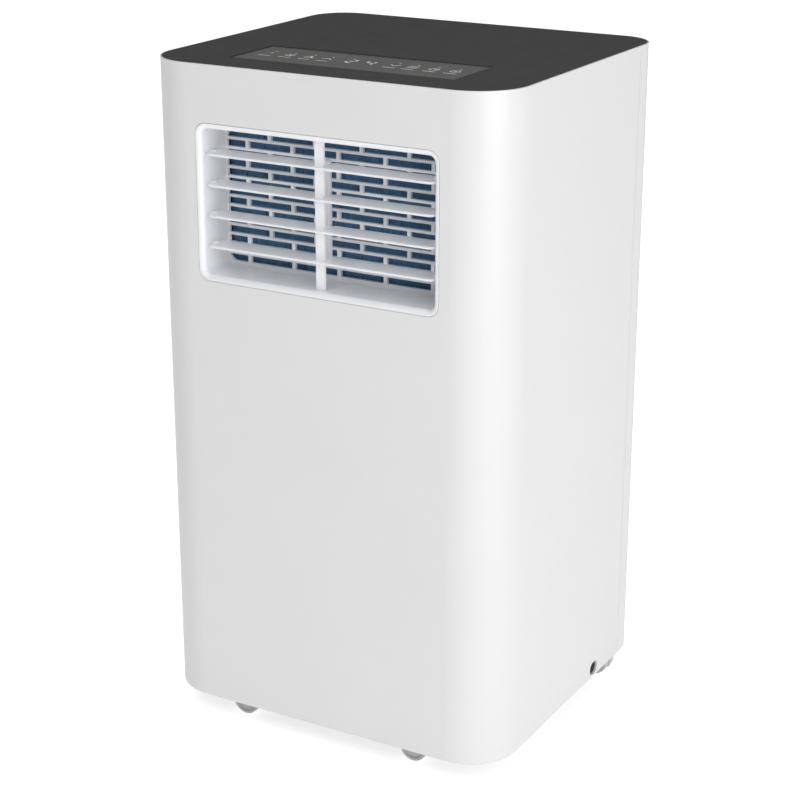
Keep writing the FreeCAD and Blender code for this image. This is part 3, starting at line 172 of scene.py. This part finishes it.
def edge_rounding():
    """Rounded normal of hard edges and a mask of where they are."""
    group, entry, leave = effect(
        "edge_rounding",
        [("Radius", "NodeSocketFloat", 0.0006)],
        [("Normal", "NodeSocketVector"), ("Edge", "NodeSocketFloat")],
    )
    rounded = node(group, "ShaderNodeBevel", samples=4)
    group.links.new(entry.outputs["Radius"], rounded.inputs["Radius"])
    surface = node(group, "ShaderNodeNewGeometry")
    alike = node(group, "ShaderNodeVectorMath", operation="DOT_PRODUCT")
    group.links.new(rounded.outputs["Normal"], alike.inputs[0])
    group.links.new(surface.outputs["Normal"], alike.inputs[1])
    group.links.new(rounded.outputs["Normal"], leave.inputs["Normal"])
    group.links.new(ramp(group, alike.outputs["Value"], 0.995, 0.85), leave.inputs["Edge"])
    return group


def settled_dust():
    """Mask of thin dust that lies on what faces up and gathers in patches."""
    group, entry, leave = effect(
        "settled_dust",
        [("Vector", "NodeSocketVector", None)],
        [("Dust", "NodeSocketFloat")],
    )
    surface = node(group, "ShaderNodeNewGeometry")
    parts = node(group, "ShaderNodeSeparateXYZ")
    group.links.new(surface.outputs["Normal"], parts.inputs[0])
    up = ramp(group, parts.outputs["Z"], 0.35, 1.0)
    patches = ramp(group, noise(group, entry.outputs["Vector"], 55, 6.0, 0.7), 0.42, 0.72)
    group.links.new(maths(group, "MULTIPLY", up, patches, True), leave.inputs["Dust"])
    return group


GRAIN, EDGES, DUST = moulded_grain(), edge_rounding(), settled_dust()


# ---------------------------------------------------------------- finishes
def placed_effect(tree, group, **values):
    made = node(tree, "ShaderNodeGroup")
    made.node_tree = group
    for label, value in values.items():
        if isinstance(value, (int, float)):
            made.inputs[label].default_value = value
        else:
            tree.links.new(value, made.inputs[label])
    return made.outputs


def blend_colour(tree, share, first, second):
    made = node(tree, "ShaderNodeMix", data_type="RGBA")
    for socket, value in ((made.inputs[0], share), (made.inputs[6], first), (made.inputs[7], second)):
        if isinstance(value, tuple):
            socket.default_value = (*value, 1.0)
        elif isinstance(value, (int, float)):
            socket.default_value = value
        else:
            tree.links.new(value, socket)
    return made.outputs[2]


class Finish:
    """One material while it is being put together: its tree, its Principled shader and its running colour."""

    def __init__(self, name, colour, rough, metallic=0.0, fineness=1.0, depth=0.12, tone=0.05, radius=0.6):
        self.material = bpy.data.materials.new(name)
        self.material.use_nodes = True
        tree = self.tree = self.material.node_tree
        self.shader = tree.nodes["Principled BSDF"]
        self.shader.inputs["Metallic"].default_value = metallic
        self.at = node(tree, "ShaderNodeTexCoord").outputs["Object"]
        grain = placed_effect(tree, GRAIN, Vector=self.at, Fineness=fineness)
        edges = placed_effect(tree, EDGES, Radius=radius * MM)
        self.edge, self.rounded = edges["Edge"], edges["Normal"]
        self.height, self.tone = grain["Height"], grain["Tone"]
        dark = tuple(c * (1 - tone) for c in colour)
        light = tuple(min(1.0, c * (1 + tone)) for c in colour)
        self.colour = blend_colour(tree, ramp(tree, self.tone, 0.3, 0.7), dark, light)
        self.rough = ramp(tree, self.tone, 0.3, 0.7, rough - 0.04, rough + 0.04)
        self.bump_depth = depth * MM

    def cover(self, share, colour):
        """Lay another colour over what is there, as much as share says."""
        self.colour = blend_colour(self.tree, share, self.colour, colour)

    def edges_worn_and_highlit(self, colour, strength):
        # Lightens patches along hard edges: partly real wear, partly painted edge highlight.
        patchy = ramp(self.tree, noise(self.tree, self.at, 160, 5.0, 0.7), 0.45, 0.7)
        wear_and_highlight = maths(self.tree, "MULTIPLY", self.edge, patchy)
        self.cover(maths(self.tree, "MULTIPLY", wear_and_highlight, strength), colour)

    def dusty(self, strength, colour=(0.62, 0.60, 0.57)):
        dust = placed_effect(self.tree, DUST, Vector=self.at)["Dust"]
        share = maths(self.tree, "MULTIPLY", dust, strength)
        self.cover(share, colour)
        self.rough = maths(self.tree, "ADD", self.rough, maths(self.tree, "MULTIPLY", share, 0.4), True)

    def relief(self, height, strength):
        """Add another height to the bump, in the same units as the grain."""
        self.height = maths(self.tree, "ADD", self.height, maths(self.tree, "MULTIPLY", height, strength))

    def done(self):
        bump = node(self.tree, "ShaderNodeBump")
        bump.inputs["Distance"].default_value = self.bump_depth
        bump.inputs["Strength"].default_value = 1.0
        self.tree.links.new(self.height, bump.inputs["Height"])
        self.tree.links.new(self.rounded, bump.inputs["Normal"])
        self.tree.links.new(bump.outputs["Normal"], self.shader.inputs["Normal"])
        self.tree.links.new(self.colour, self.shader.inputs["Base Color"])
        self.tree.links.new(self.rough, self.shader.inputs["Roughness"])
        return self.material


def axis_value(finish, axis):
    """Object coordinate along one axis."""
    parts = node(finish.tree, "ShaderNodeSeparateXYZ")
    finish.tree.links.new(finish.at, parts.inputs[0])
    return parts.outputs[axis]


def wave_along(finish, value, pitch):
    """Even wave between 0 and 1 that repeats at a pitch as a value grows."""
    phase = maths(finish.tree, "MULTIPLY", value, 2 * math.pi / pitch)
    swing = maths(finish.tree, "MULTIPLY", maths(finish.tree, "SINE", phase), 0.5)
    return maths(finish.tree, "ADD", swing, 0.5)


def stripes(finish, axis, pitch, sharpness=2.0):
    """1 on thin ribs that repeat at a pitch along an axis, 0 between them."""
    wave = wave_along(finish, axis_value(finish, axis), pitch)
    return maths(finish.tree, "POWER", wave, sharpness)


def cells(finish, scale):
    """Outputs of a cell pattern: distance from the middle of each cell, and its colour."""
    made = node(finish.tree, "ShaderNodeTexVoronoi", feature="F1")
    made.inputs["Scale"].default_value = scale
    finish.tree.links.new(finish.at, made.inputs["Vector"])
    return made.outputs


def white_plastic(name, colour, rough):
    finish = Finish(name, colour, rough, depth=0.018, tone=0.012, radius=0.9)
    # The lighter edges of white plastic are painted edge highlight, not wear.
    finish.edges_worn_and_highlit(tuple(min(0.93, c * 1.08) for c in colour), 0.25)
    finish.dusty(0.06)
    finish.shader.inputs["Coat Weight"].default_value = 0.35
    finish.shader.inputs["Coat Roughness"].default_value = 0.16
    return finish.done()


def dark_plastic(name, colour, rough, wear=0.3, dust=0.18, depth=0.05):
    finish = Finish(name, colour, rough, depth=depth, tone=0.10, fineness=0.8)
    finish.edges_worn_and_highlit(tuple(min(1.0, c * 1.8 + 0.02) for c in colour), wear)
    finish.dusty(dust)
    return finish.done()


def cover_grey():
    finish = Finish("cover_grey", (0.057, 0.057, 0.058), 0.60, depth=0.045, tone=0.06, radius=0.5)
    finish.edges_worn_and_highlit((0.085, 0.085, 0.085), 0.4)
    finish.dusty(0.02)
    finish.shader.inputs["Specular IOR Level"].default_value = 0.22
    return finish.done()


def panel_glass():
    finish = Finish("panel_grey", (0.125, 0.125, 0.122), 0.30, depth=0.004, tone=0.10, radius=0.3)
    smears = ramp(finish.tree, noise(finish.tree, finish.at, 38, 7.0, 0.75), 0.40, 0.70)
    finish.cover(maths(finish.tree, "MULTIPLY", smears, 0.25), (0.14, 0.14, 0.137))
    finish.rough = maths(finish.tree, "ADD", finish.rough, maths(finish.tree, "MULTIPLY", smears, 0.18))
    finish.shader.inputs["Specular IOR Level"].default_value = 0.3
    return finish.done()


def fin_pack(name, colour, fin_gap_shade, metallic):
    """Thin upright fins seen on edge, with painted shade in the gap between each two and a few bent ones."""
    finish = Finish(name, colour, 0.48, metallic=metallic, depth=0.5, tone=0.10, radius=0.2)
    wander = maths(finish.tree, "MULTIPLY", noise(finish.tree, finish.at, 60, 2.0), 0.0006)
    across = maths(finish.tree, "ADD", axis_value(finish, "X"), wander)
    wave = wave_along(finish, across, FIN_PITCH * MM)
    # The colour between the fins is painted shade of the gaps.
    finish.cover(ramp(finish.tree, wave, 0.45, 0.15, 0.0, 0.40), fin_gap_shade)
    finish.relief(wave, 1.0)
    return finish.done()


def drawn_copper():
    finish = Finish("copper", (0.60, 0.27, 0.15), 0.30, metallic=1.0, depth=0.01, tone=0.10)
    tarnish = ramp(finish.tree, noise(finish.tree, finish.at, 70, 5.0, 0.65), 0.50, 0.72)
    finish.cover(maths(finish.tree, "MULTIPLY", tarnish, 0.6), (0.20, 0.09, 0.05))
    finish.rough = maths(finish.tree, "ADD", finish.rough, maths(finish.tree, "MULTIPLY", tarnish, 0.25))
    return finish.done()


def galvanised():
    finish = Finish("galvanised", (0.50, 0.51, 0.53), 0.42, metallic=0.9, depth=0.01, tone=0.06)
    spangle = cells(finish, 130)["Color"]
    grey = node(finish.tree, "ShaderNodeRGBToBW")
    finish.tree.links.new(spangle, grey.inputs[0])
    finish.cover(maths(finish.tree, "MULTIPLY", grey.outputs[0], 0.35), (0.72, 0.73, 0.75))
    rougher = maths(finish.tree, "MULTIPLY", grey.outputs[0], 0.12)
    finish.rough = maths(finish.tree, "ADD", finish.rough, rougher)
    return finish.done()


def zinc_plated():
    steel = (0.42, 0.42, 0.41)
    finish = Finish("screw_steel", steel, 0.34, metallic=1.0, depth=0.008, tone=0.12, radius=0.15)
    finish.relief(stripes(finish, "Y", 0.9 * MM), 0.5)
    finish.edges_worn_and_highlit((0.75, 0.75, 0.74), 0.7)
    return finish.done()


def beaded_foam(name, colour, scale, depth):
    finish = Finish(name, colour, 0.85, depth=depth, tone=0.05, radius=0.8)
    beads = cells(finish, scale)["Distance"]
    finish.relief(beads, -2.0)
    # Darker towards the edges of each bead: painted shade in the creases between beads.
    finish.cover(ramp(finish.tree, beads, 0.35, 0.6, 0.0, 0.35), tuple(c * 0.6 for c in colour))
    return finish.done()


def circuit_board():
    finish = Finish("board_green", (0.02, 0.12, 0.05), 0.35, depth=0.02, tone=0.10, radius=0.2)
    tracks = node(finish.tree, "ShaderNodeTexBrick", offset=0.5, squash=1.0)
    tracks.inputs["Scale"].default_value = 120
    tracks.inputs["Mortar Size"].default_value = 0.06
    finish.tree.links.new(finish.at, tracks.inputs["Vector"])
    finish.cover(maths(finish.tree, "MULTIPLY", tracks.outputs["Fac"], 0.6), (0.06, 0.26, 0.10))
    return finish.done()


def enamelled_steel(name, colour, rough):
    finish = Finish(name, colour, rough, depth=0.03, tone=0.12, fineness=0.35, radius=1.0)
    finish.edges_worn_and_highlit((0.28, 0.26, 0.24), 0.35)
    finish.dusty(0.25)
    return finish.done()


def rubber():
    finish = Finish("rubber_black", (0.022, 0.022, 0.023), 0.78, depth=0.06, tone=0.15, fineness=0.7)
    finish.dusty(0.35, (0.30, 0.29, 0.27))
    return finish.done()


def wheel_nylon():
    finish = Finish("caster_wheel", (0.62, 0.62, 0.625), 0.42, depth=0.03, tone=0.05, radius=0.4)
    scuffs = ramp(finish.tree, noise(finish.tree, finish.at, 260, 6.0, 0.8), 0.52, 0.68)
    finish.cover(maths(finish.tree, "MULTIPLY", scuffs, 0.30), (0.30, 0.29, 0.28))
    finish.edges_worn_and_highlit((0.74, 0.74, 0.74), 0.5)
    return finish.done()


def filter_cloth():
    """Woven nylon mesh: threads both ways, holes between them."""
    finish = Finish("filter_cloth", (0.045, 0.047, 0.05), 0.6, depth=0.25, tone=0.10, radius=0.1)
    across, along = (stripes(finish, axis, THREAD_PITCH * MM, 1.2) for axis in ("X", "Z"))
    threads = maths(finish.tree, "MAXIMUM", across, along)
    finish.relief(threads, 1.5)
    finish.cover(ramp(finish.tree, threads, 0.55, 0.8), (0.16, 0.165, 0.17))
    lint = ramp(finish.tree, noise(finish.tree, finish.at, 45, 6.0, 0.7), 0.50, 0.75)
    finish.cover(maths(finish.tree, "MULTIPLY", lint, 0.25), (0.32, 0.31, 0.29))
    return finish.done()


def lit_mark(name, colour, glow):
    finish = Finish(name, colour, 0.45, depth=0.004, tone=0.06, radius=0.1)
    finish.shader.inputs["Emission Color"].default_value = (*colour, 1.0)
    finish.shader.inputs["Emission Strength"].default_value = glow
    return finish.done()


def display_window():
    finish = Finish("display_black", (0.012, 0.012, 0.013), 0.16, depth=0.004, tone=0.15, radius=0.2)
    finish.dusty(0.08)
    return finish.done()


def drawn_can():
    finish = Finish("capacitor_silver", (0.60, 0.60, 0.61), 0.36, metallic=1.0, depth=0.01, tone=0.06)
    finish.relief(stripes(finish, "Y", 1.4 * MM), 0.3)
    finish.edges_worn_and_highlit((0.85, 0.85, 0.86), 0.4)
    return finish.done()


FINISHES = {
    "cabinet_white": white_plastic("cabinet_white", (0.775, 0.775, 0.777), 0.34),
    # Brighter than the cabinet's white partly to make up for the shade inside the outlet recess: painted
    # light.
    "outlet_white": white_plastic("outlet_white", (0.90, 0.91, 0.93), 0.32),
    "filter_white": white_plastic("filter_white", (0.74, 0.75, 0.755), 0.42),
    "collar_grey": white_plastic("collar_grey", (0.60, 0.61, 0.615), 0.45),
    "cover_grey": cover_grey(),
    "panel_grey": panel_glass(),
    "display_black": display_window(),
    "board_green": circuit_board(),
    "pan_grey": dark_plastic("pan_grey", (0.09, 0.09, 0.095), 0.55),
    "deck_grey": dark_plastic("deck_grey", (0.14, 0.145, 0.15), 0.55),
    "gland_grey": dark_plastic("gland_grey", (0.05, 0.05, 0.052), 0.5, dust=0.1),
    "fan_black": dark_plastic("fan_black", (0.035, 0.035, 0.037), 0.48),
    "caster_yoke": white_plastic("caster_yoke", (0.56, 0.56, 0.565), 0.45),
    "caster_wheel": wheel_nylon(),
    "rubber_black": rubber(),
    "seal_foam": beaded_foam("seal_foam", (0.03, 0.03, 0.031), 1500, 0.06),
    "foam_grey": beaded_foam("foam_grey", (0.62, 0.63, 0.64), 330, 0.25),
    "galvanised": galvanised(),
    "screw_steel": zinc_plated(),
    # The second colour of each fin pack is the painted shade in the gaps between its fins.
    "fin_blue": fin_pack("fin_blue", (0.105, 0.255, 0.450), (0.038, 0.115, 0.235), 0.1),
    "fin_aluminium": fin_pack("fin_aluminium", (0.55, 0.56, 0.57), (0.10, 0.10, 0.11), 0.5),
    "copper": drawn_copper(),
    "motor_grey": enamelled_steel("motor_grey", (0.22, 0.22, 0.23), 0.42),
    "compressor_black": enamelled_steel("compressor_black", (0.02, 0.02, 0.021), 0.35),
    "capacitor_silver": drawn_can(),
}
CLOTH = filter_cloth()
# The printed symbols get a faint painted glow; they are no lamp.
PRINT_WITH_PAINTED_GLOW = lit_mark("panel_print", (0.70, 0.70, 0.69), 0.06)
LIT = lit_mark("display_segments", (0.80, 0.86, 0.90), 0.35)


def dress_frame():
    """Give every node of the frame the finish that its slot names."""
    slots = {part["node"]: part["material_slot"] for part in frame["record"]["subparts"]}
    for name, piece in frame["nodes"].items():
        for slot in piece.material_slots:
            slot.material = FINISHES[slots[name]]


# ---------------------------------------------------------------- modelling helpers
def nothing_selected():
    if bpy.context.mode != "OBJECT":
        bpy.ops.object.mode_set(mode="OBJECT")
    bpy.ops.object.select_all(action="DESELECT")


def begin(primitive, **settings):
    """Add a primitive on its own and return it, active and in edit mode with nothing selected."""
    nothing_selected()
    primitive(**settings)
    piece = bpy.context.object
    bpy.ops.object.mode_set(mode="EDIT")
    bpy.ops.mesh.select_all(action="DESELECT")
    return piece


def pick_faces(piece, wanted):
    """Select the faces whose centre and normal satisfy wanted(centre, normal)."""
    bpy.ops.mesh.select_all(action="DESELECT")
    bpy.ops.mesh.select_mode(type="FACE")
    bpy.ops.object.mode_set(mode="OBJECT")
    for face in piece.data.polygons:
        face.select = wanted(piece.matrix_world @ face.center, face.normal)
    bpy.ops.object.mode_set(mode="EDIT")


def settle(piece, name, material, body):
    """Leave edit mode, put the piece's place into its mesh, and give it its name, finish and body."""
    nothing_selected()
    piece.select_set(True)
    bpy.context.view_layer.objects.active = piece
    bpy.ops.object.transform_apply(location=True, rotation=True, scale=True)
    piece.name = piece.data.name = name
    piece.data.materials.clear()
    piece.data.materials.append(material)
    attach(piece, body)


def copy_of(piece):
    """Another of a piece, with its own mesh."""
    copy = piece.copy()
    copy.data = piece.data.copy()
    bpy.context.collection.objects.link(copy)
    return copy


def joined(pieces):
    """Join pieces into the first of them."""
    nothing_selected()
    for piece in pieces:
        piece.select_set(True)
    bpy.context.view_layer.objects.active = pieces[0]
    bpy.ops.object.join()
    return pieces[0]


# ---------------------------------------------------------------- new pieces
def place_of(name):
    """Low and high corners of a frame node."""
    low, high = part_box(name)
    return Vector(low), Vector(high)


def detailed_wheel():
    """One moulded wheel about Y, at the origin: flat rim, dished face, raised hub with a sunk middle."""
    wheel = begin(
        bpy.ops.mesh.primitive_cylinder_add,
        vertices=WHEEL_SIDES,
        radius=WHEEL_R * MM,
        depth=WHEEL_W * MM,
        end_fill_type="NGON",
        rotation=(math.pi / 2, 0, 0),
    )
    pick_faces(wheel, lambda centre, normal: abs(normal.z) > 0.9)
    rim = ((0.9, 0.0), (1.6, 0.0))
    dish = ((0.5, -0.9), (5.0, 0.0))
    hub = ((0.5, 0.8), (1.4, 0.0), (0.3, -0.4))
    for inwards, rise in rim + dish + hub:
        bpy.ops.mesh.inset(thickness=inwards * MM, depth=rise * MM)
    nothing_selected()
    return wheel


def detailed_wheels():
    """Two wheels for each caster, copied from one pattern, in place of the plain pair."""
    pattern = detailed_wheel()
    for side in ("front_left", "front_right", "rear_left", "rear_right"):
        node_name = "caster_%s_wheels" % side
        low, high = place_of(node_name)
        middle = (low + high) / 2
        pair = []
        for end in (low.y + WHEEL_W / 2 * MM, high.y - WHEEL_W / 2 * MM):
            wheel = copy_of(pattern)
            wheel.location = (middle.x, end, middle.z)
            pair.append(wheel)
        pair = joined(pair)
        bevel = pair.modifiers.new("soft_edges", "BEVEL")
        bevel.width = WHEEL_BEVEL * MM
        bevel.segments = 3
        bevel.limit_method = "ANGLE"
        bpy.ops.object.modifier_apply(modifier=bevel.name)
        body = "caster_%s_wheel_pair" % side
        settle(pair, "caster_%s_wheel_mouldings" % side, FINISHES["caster_wheel"], body)
        bpy.ops.object.shade_smooth_by_angle(angle=math.radians(35))
        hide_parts(node_name)
    bpy.data.meshes.remove(pattern.data)  # the pattern's object goes with its mesh


def bar_mark(x, y, length, width, turn=0.0, corners=24):
    """Flat bar with round ends, or pointed ones when it has four corners."""
    mark = begin(
        bpy.ops.mesh.primitive_circle_add,
        vertices=corners,
        radius=width * MM / 2,
        fill_type="NGON",
    )
    reach = max(0.0, length - width) * MM / 2
    for side in (-1, 1):
        bpy.ops.mesh.select_all(action="DESELECT")
        bpy.ops.object.mode_set(mode="OBJECT")
        for point in mark.data.vertices:
            point.select = side * point.co.x > 1e-7
        bpy.ops.object.mode_set(mode="EDIT")
        bpy.ops.mesh.select_mode(type="VERT")
        bpy.ops.transform.translate(value=(side * reach, 0, 0))
    nothing_selected()
    mark.location = (x * MM, y * MM, 0)
    mark.rotation_euler = (0, 0, math.radians(turn))
    return mark


def ring_mark(x, y, radius, width):
    """Flat ring of a width inside a radius."""
    mark = begin(
        bpy.ops.mesh.primitive_circle_add,
        vertices=40,
        radius=radius * MM,
        fill_type="NOTHING",
    )
    bpy.ops.mesh.select_all(action="SELECT")
    bpy.ops.mesh.extrude_region_move()
    share = (radius - width) / radius
    bpy.ops.transform.resize(value=(share, share, 1))
    nothing_selected()
    mark.location = (x * MM, y * MM, 0)
    return mark


def key_symbols():
    """Plain symbols of the touch keys: x, radius of a ring or 0, and marks (x, y, length, width, turn)."""
    switch = [(0, 2.8, 5.6, STROKE, 90)]
    rays = [(0, 0, 11, STROKE, turn) for turn in (0, 60, 120)]
    blades = []
    for turn in (90, 210, 330):
        angle = math.radians(turn)
        blades.append((2.7 * math.cos(angle), 2.7 * math.sin(angle), 5.8, 2.6, turn))
    up = [(-2.3, 0, 7, STROKE, 45), (2.3, 0, 7, STROKE, -45)]
    down = [(-2.3, 0, 7, STROKE, -45), (2.3, 0, 7, STROKE, 45)]
    waves = [(0, y, 10, STROKE, 0) for y in (-3.6, 0, 3.6)]
    hands = [(0, 1.6, 4.4, 1.1, 90), (1.5, -0.2, 3.8, 1.1, 0)]
    dot = [(0, 0, 3.6, 2.2, 0)]
    return [
        (-91, KEY_RING_R, switch),
        (-71, 0, rays),
        (-51, 0, blades),
        (-33, 0, up),
        (33, 0, down),
        (51, 0, waves),
        (71, KEY_RING_R, hands),
        (91, KEY_RING_R, dot),
    ]


def digit_segments():
    """The seven bars of a digit round its middle: letter, x, y and turn."""
    side, end = DIGIT_HALF_W, DIGIT_HALF_H
    return [
        ("a", 0, end, 0),
        ("b", side, end / 2, 90),
        ("c", side, -end / 2, 90),
        ("d", 0, -end, 0),
        ("e", -side, -end / 2, 90),
        ("f", -side, end / 2, 90),
        ("g", 0, 0, 0),
    ]


def panel_print():
    """Symbols over the touch keys, each with a bar in front and a dot behind, and two lit digits."""
    marks = []
    for x, radius, strokes in key_symbols():
        if radius:
            marks.append(ring_mark(x, KEY_ROW, radius, KEY_RING_W))
        for dx, dy, length, width, turn in strokes:
            marks.append(bar_mark(x + dx, KEY_ROW + dy, length, width, turn))
        marks.append(bar_mark(x, KEY_ROW - LABEL_GAP, *LABEL))
        marks.append(bar_mark(x, KEY_ROW + KEY_DOT_GAP, KEY_DOT, KEY_DOT))
    raise_marks(marks, PANEL_TOP, "panel_symbols", PRINT_WITH_PAINTED_GLOW)
    segments = []
    for x, lit in ((-DIGIT_X, "abged"), (DIGIT_X, "fgbc")):
        for letter, dx, dy, turn in digit_segments():
            if letter in lit:
                segments.append(bar_mark(x + dx, KEY_ROW + dy, *SEGMENT, turn, corners=4))
    raise_marks(segments, PANEL_TOP, "display_digits", LIT)


def raise_marks(marks, height, name, material):
    """Make one thin raised print of flat marks and set it on the panel."""
    layer = joined(marks)
    layer.location.z = height * MM
    thick = layer.modifiers.new("ink", "SOLIDIFY")
    thick.thickness = INK_T * MM
    thick.offset = 1
    bpy.ops.object.modifier_apply(modifier=thick.name)
    settle(layer, name, material, "housing")


def filter_cloths():
    """Woven mesh behind the slats of both rear filters, slightly slack."""
    for name in ("upper_filter", "lower_filter"):
        low, high = place_of(name)
        middle = (low + high) / 2
        border = 2 * (FILTER_RAIL + CLOTH_GAP) * MM
        cloth = begin(
            bpy.ops.mesh.primitive_grid_add,
            x_subdivisions=48,
            y_subdivisions=32,
            size=1,
            location=(middle.x, low.y + CLOTH_BEHIND * MM, middle.z),
            rotation=(math.pi / 2, 0, 0),
        )
        cloth.scale = (high.x - low.x - border, high.z - low.z - border, 1)
        bpy.ops.object.mode_set(mode="OBJECT")
        bpy.ops.object.transform_apply(location=True, rotation=True, scale=True)
        bpy.ops.object.mode_set(mode="EDIT")
        bpy.ops.mesh.select_all(action="SELECT")
        bpy.ops.mesh.select_less()
        bpy.ops.transform.vertex_random(offset=CLOTH_SLACK * MM, uniform=0.0, normal=1.0, seed=4)
        nothing_selected()
        cloth.select_set(True)
        thick = cloth.modifiers.new("weave", "SOLIDIFY")
        thick.thickness = CLOTH_T * MM
        thick.offset = 0
        bpy.ops.object.modifier_apply(modifier=thick.name)
        settle(cloth, name + "_cloth", CLOTH, name)


# ---------------------------------------------------------------- stage
def seen_directly(tree, unseen, seen):
    """One number for what the camera meets first and another for the light that a surface gives off."""
    direct = node(tree, "ShaderNodeLightPath").outputs["Is Camera Ray"]
    return ramp(tree, direct, 0.0, 1.0, unseen, seen)


def floor():
    """Plain pale floor that stays bright under the cabinet."""
    stage = begin(bpy.ops.mesh.primitive_plane_add, size=14, location=(0, 0, 0))
    bpy.ops.mesh.select_all(action="SELECT")
    bpy.ops.mesh.subdivide(number_cuts=4)
    nothing_selected()
    stage.name = "floor"
    finish = Finish("floor_white", (0.90, 0.90, 0.90), 0.8, depth=0.02, tone=0.004, fineness=0.2)
    finish.shader.inputs["Specular IOR Level"].default_value = 0.1
    finish.shader.inputs["Emission Color"].default_value = (1, 1, 1, 1)
    glow = seen_directly(finish.tree, unseen=0.40, seen=0.72)
    finish.tree.links.new(glow, finish.shader.inputs["Emission Strength"])
    stage.data.materials.append(finish.done())


def softbox(name, azimuth, height, distance, width, tall, power, aim=0.32):
    """Soft rectangular light at a bearing from the cabinet. Bearings run from +X towards +Y."""
    light = bpy.data.lights.new(name, "AREA")
    light.shape = "RECTANGLE"
    light.size, light.size_y = width, tall
    light.energy = power
    bearing = math.radians(azimuth)
    place = Vector((distance * math.cos(bearing), distance * math.sin(bearing), height))
    lamp = bpy.data.objects.new(name, light)
    bpy.context.collection.objects.link(lamp)
    lamp.location = place
    lamp.rotation_euler = (Vector((0, 0, aim)) - place).to_track_quat("-Z", "Y").to_euler()
    lamp.visible_camera = False


def studio():
    """White surroundings that light little, soft lights to the right and high in front, and a sun."""
    world = bpy.data.worlds.new("studio")
    bpy.context.scene.world = world
    world.use_nodes = True
    background = world.node_tree.nodes["Background"]
    background.inputs["Color"].default_value = (1, 1, 1, 1)
    tree = world.node_tree
    brightness = seen_directly(tree, unseen=0.20, seen=1.0)
    tree.links.new(brightness, background.inputs["Strength"])
    softbox("right_softbox", azimuth=-28, height=1.0, distance=2.3, width=2.0, tall=2.0, power=29)
    softbox("front_softbox", azimuth=-95, height=2.3, distance=1.9, width=1.8, tall=1.2,
            power=12.5, aim=0.45)
    overhead = bpy.data.objects.new("overhead", bpy.data.lights.new("overhead", "SUN"))
    bpy.context.collection.objects.link(overhead)
    overhead.data.energy = 0.75
    overhead.data.angle = math.radians(40)
    bpy.context.scene.view_settings.view_transform = "Standard"


def camera():
    """Long lens, a little above the cover, about thirty degrees round to the right of the front."""
    data = bpy.data.cameras.new("camera")
    data.sensor_width = 36.0
    data.lens = 89.06
    viewer = bpy.data.objects.new("camera", data)
    bpy.context.collection.objects.link(viewer)
    viewer.location = (0.8586, -1.5219, 0.9087)
    viewer.rotation_euler = (math.radians(90 - 19.41), math.radians(-0.01), math.radians(29.64))
    bpy.context.scene.camera = viewer


dress_frame()
detailed_wheels()
panel_print()
filter_cloths()
floor()
studio()
camera()
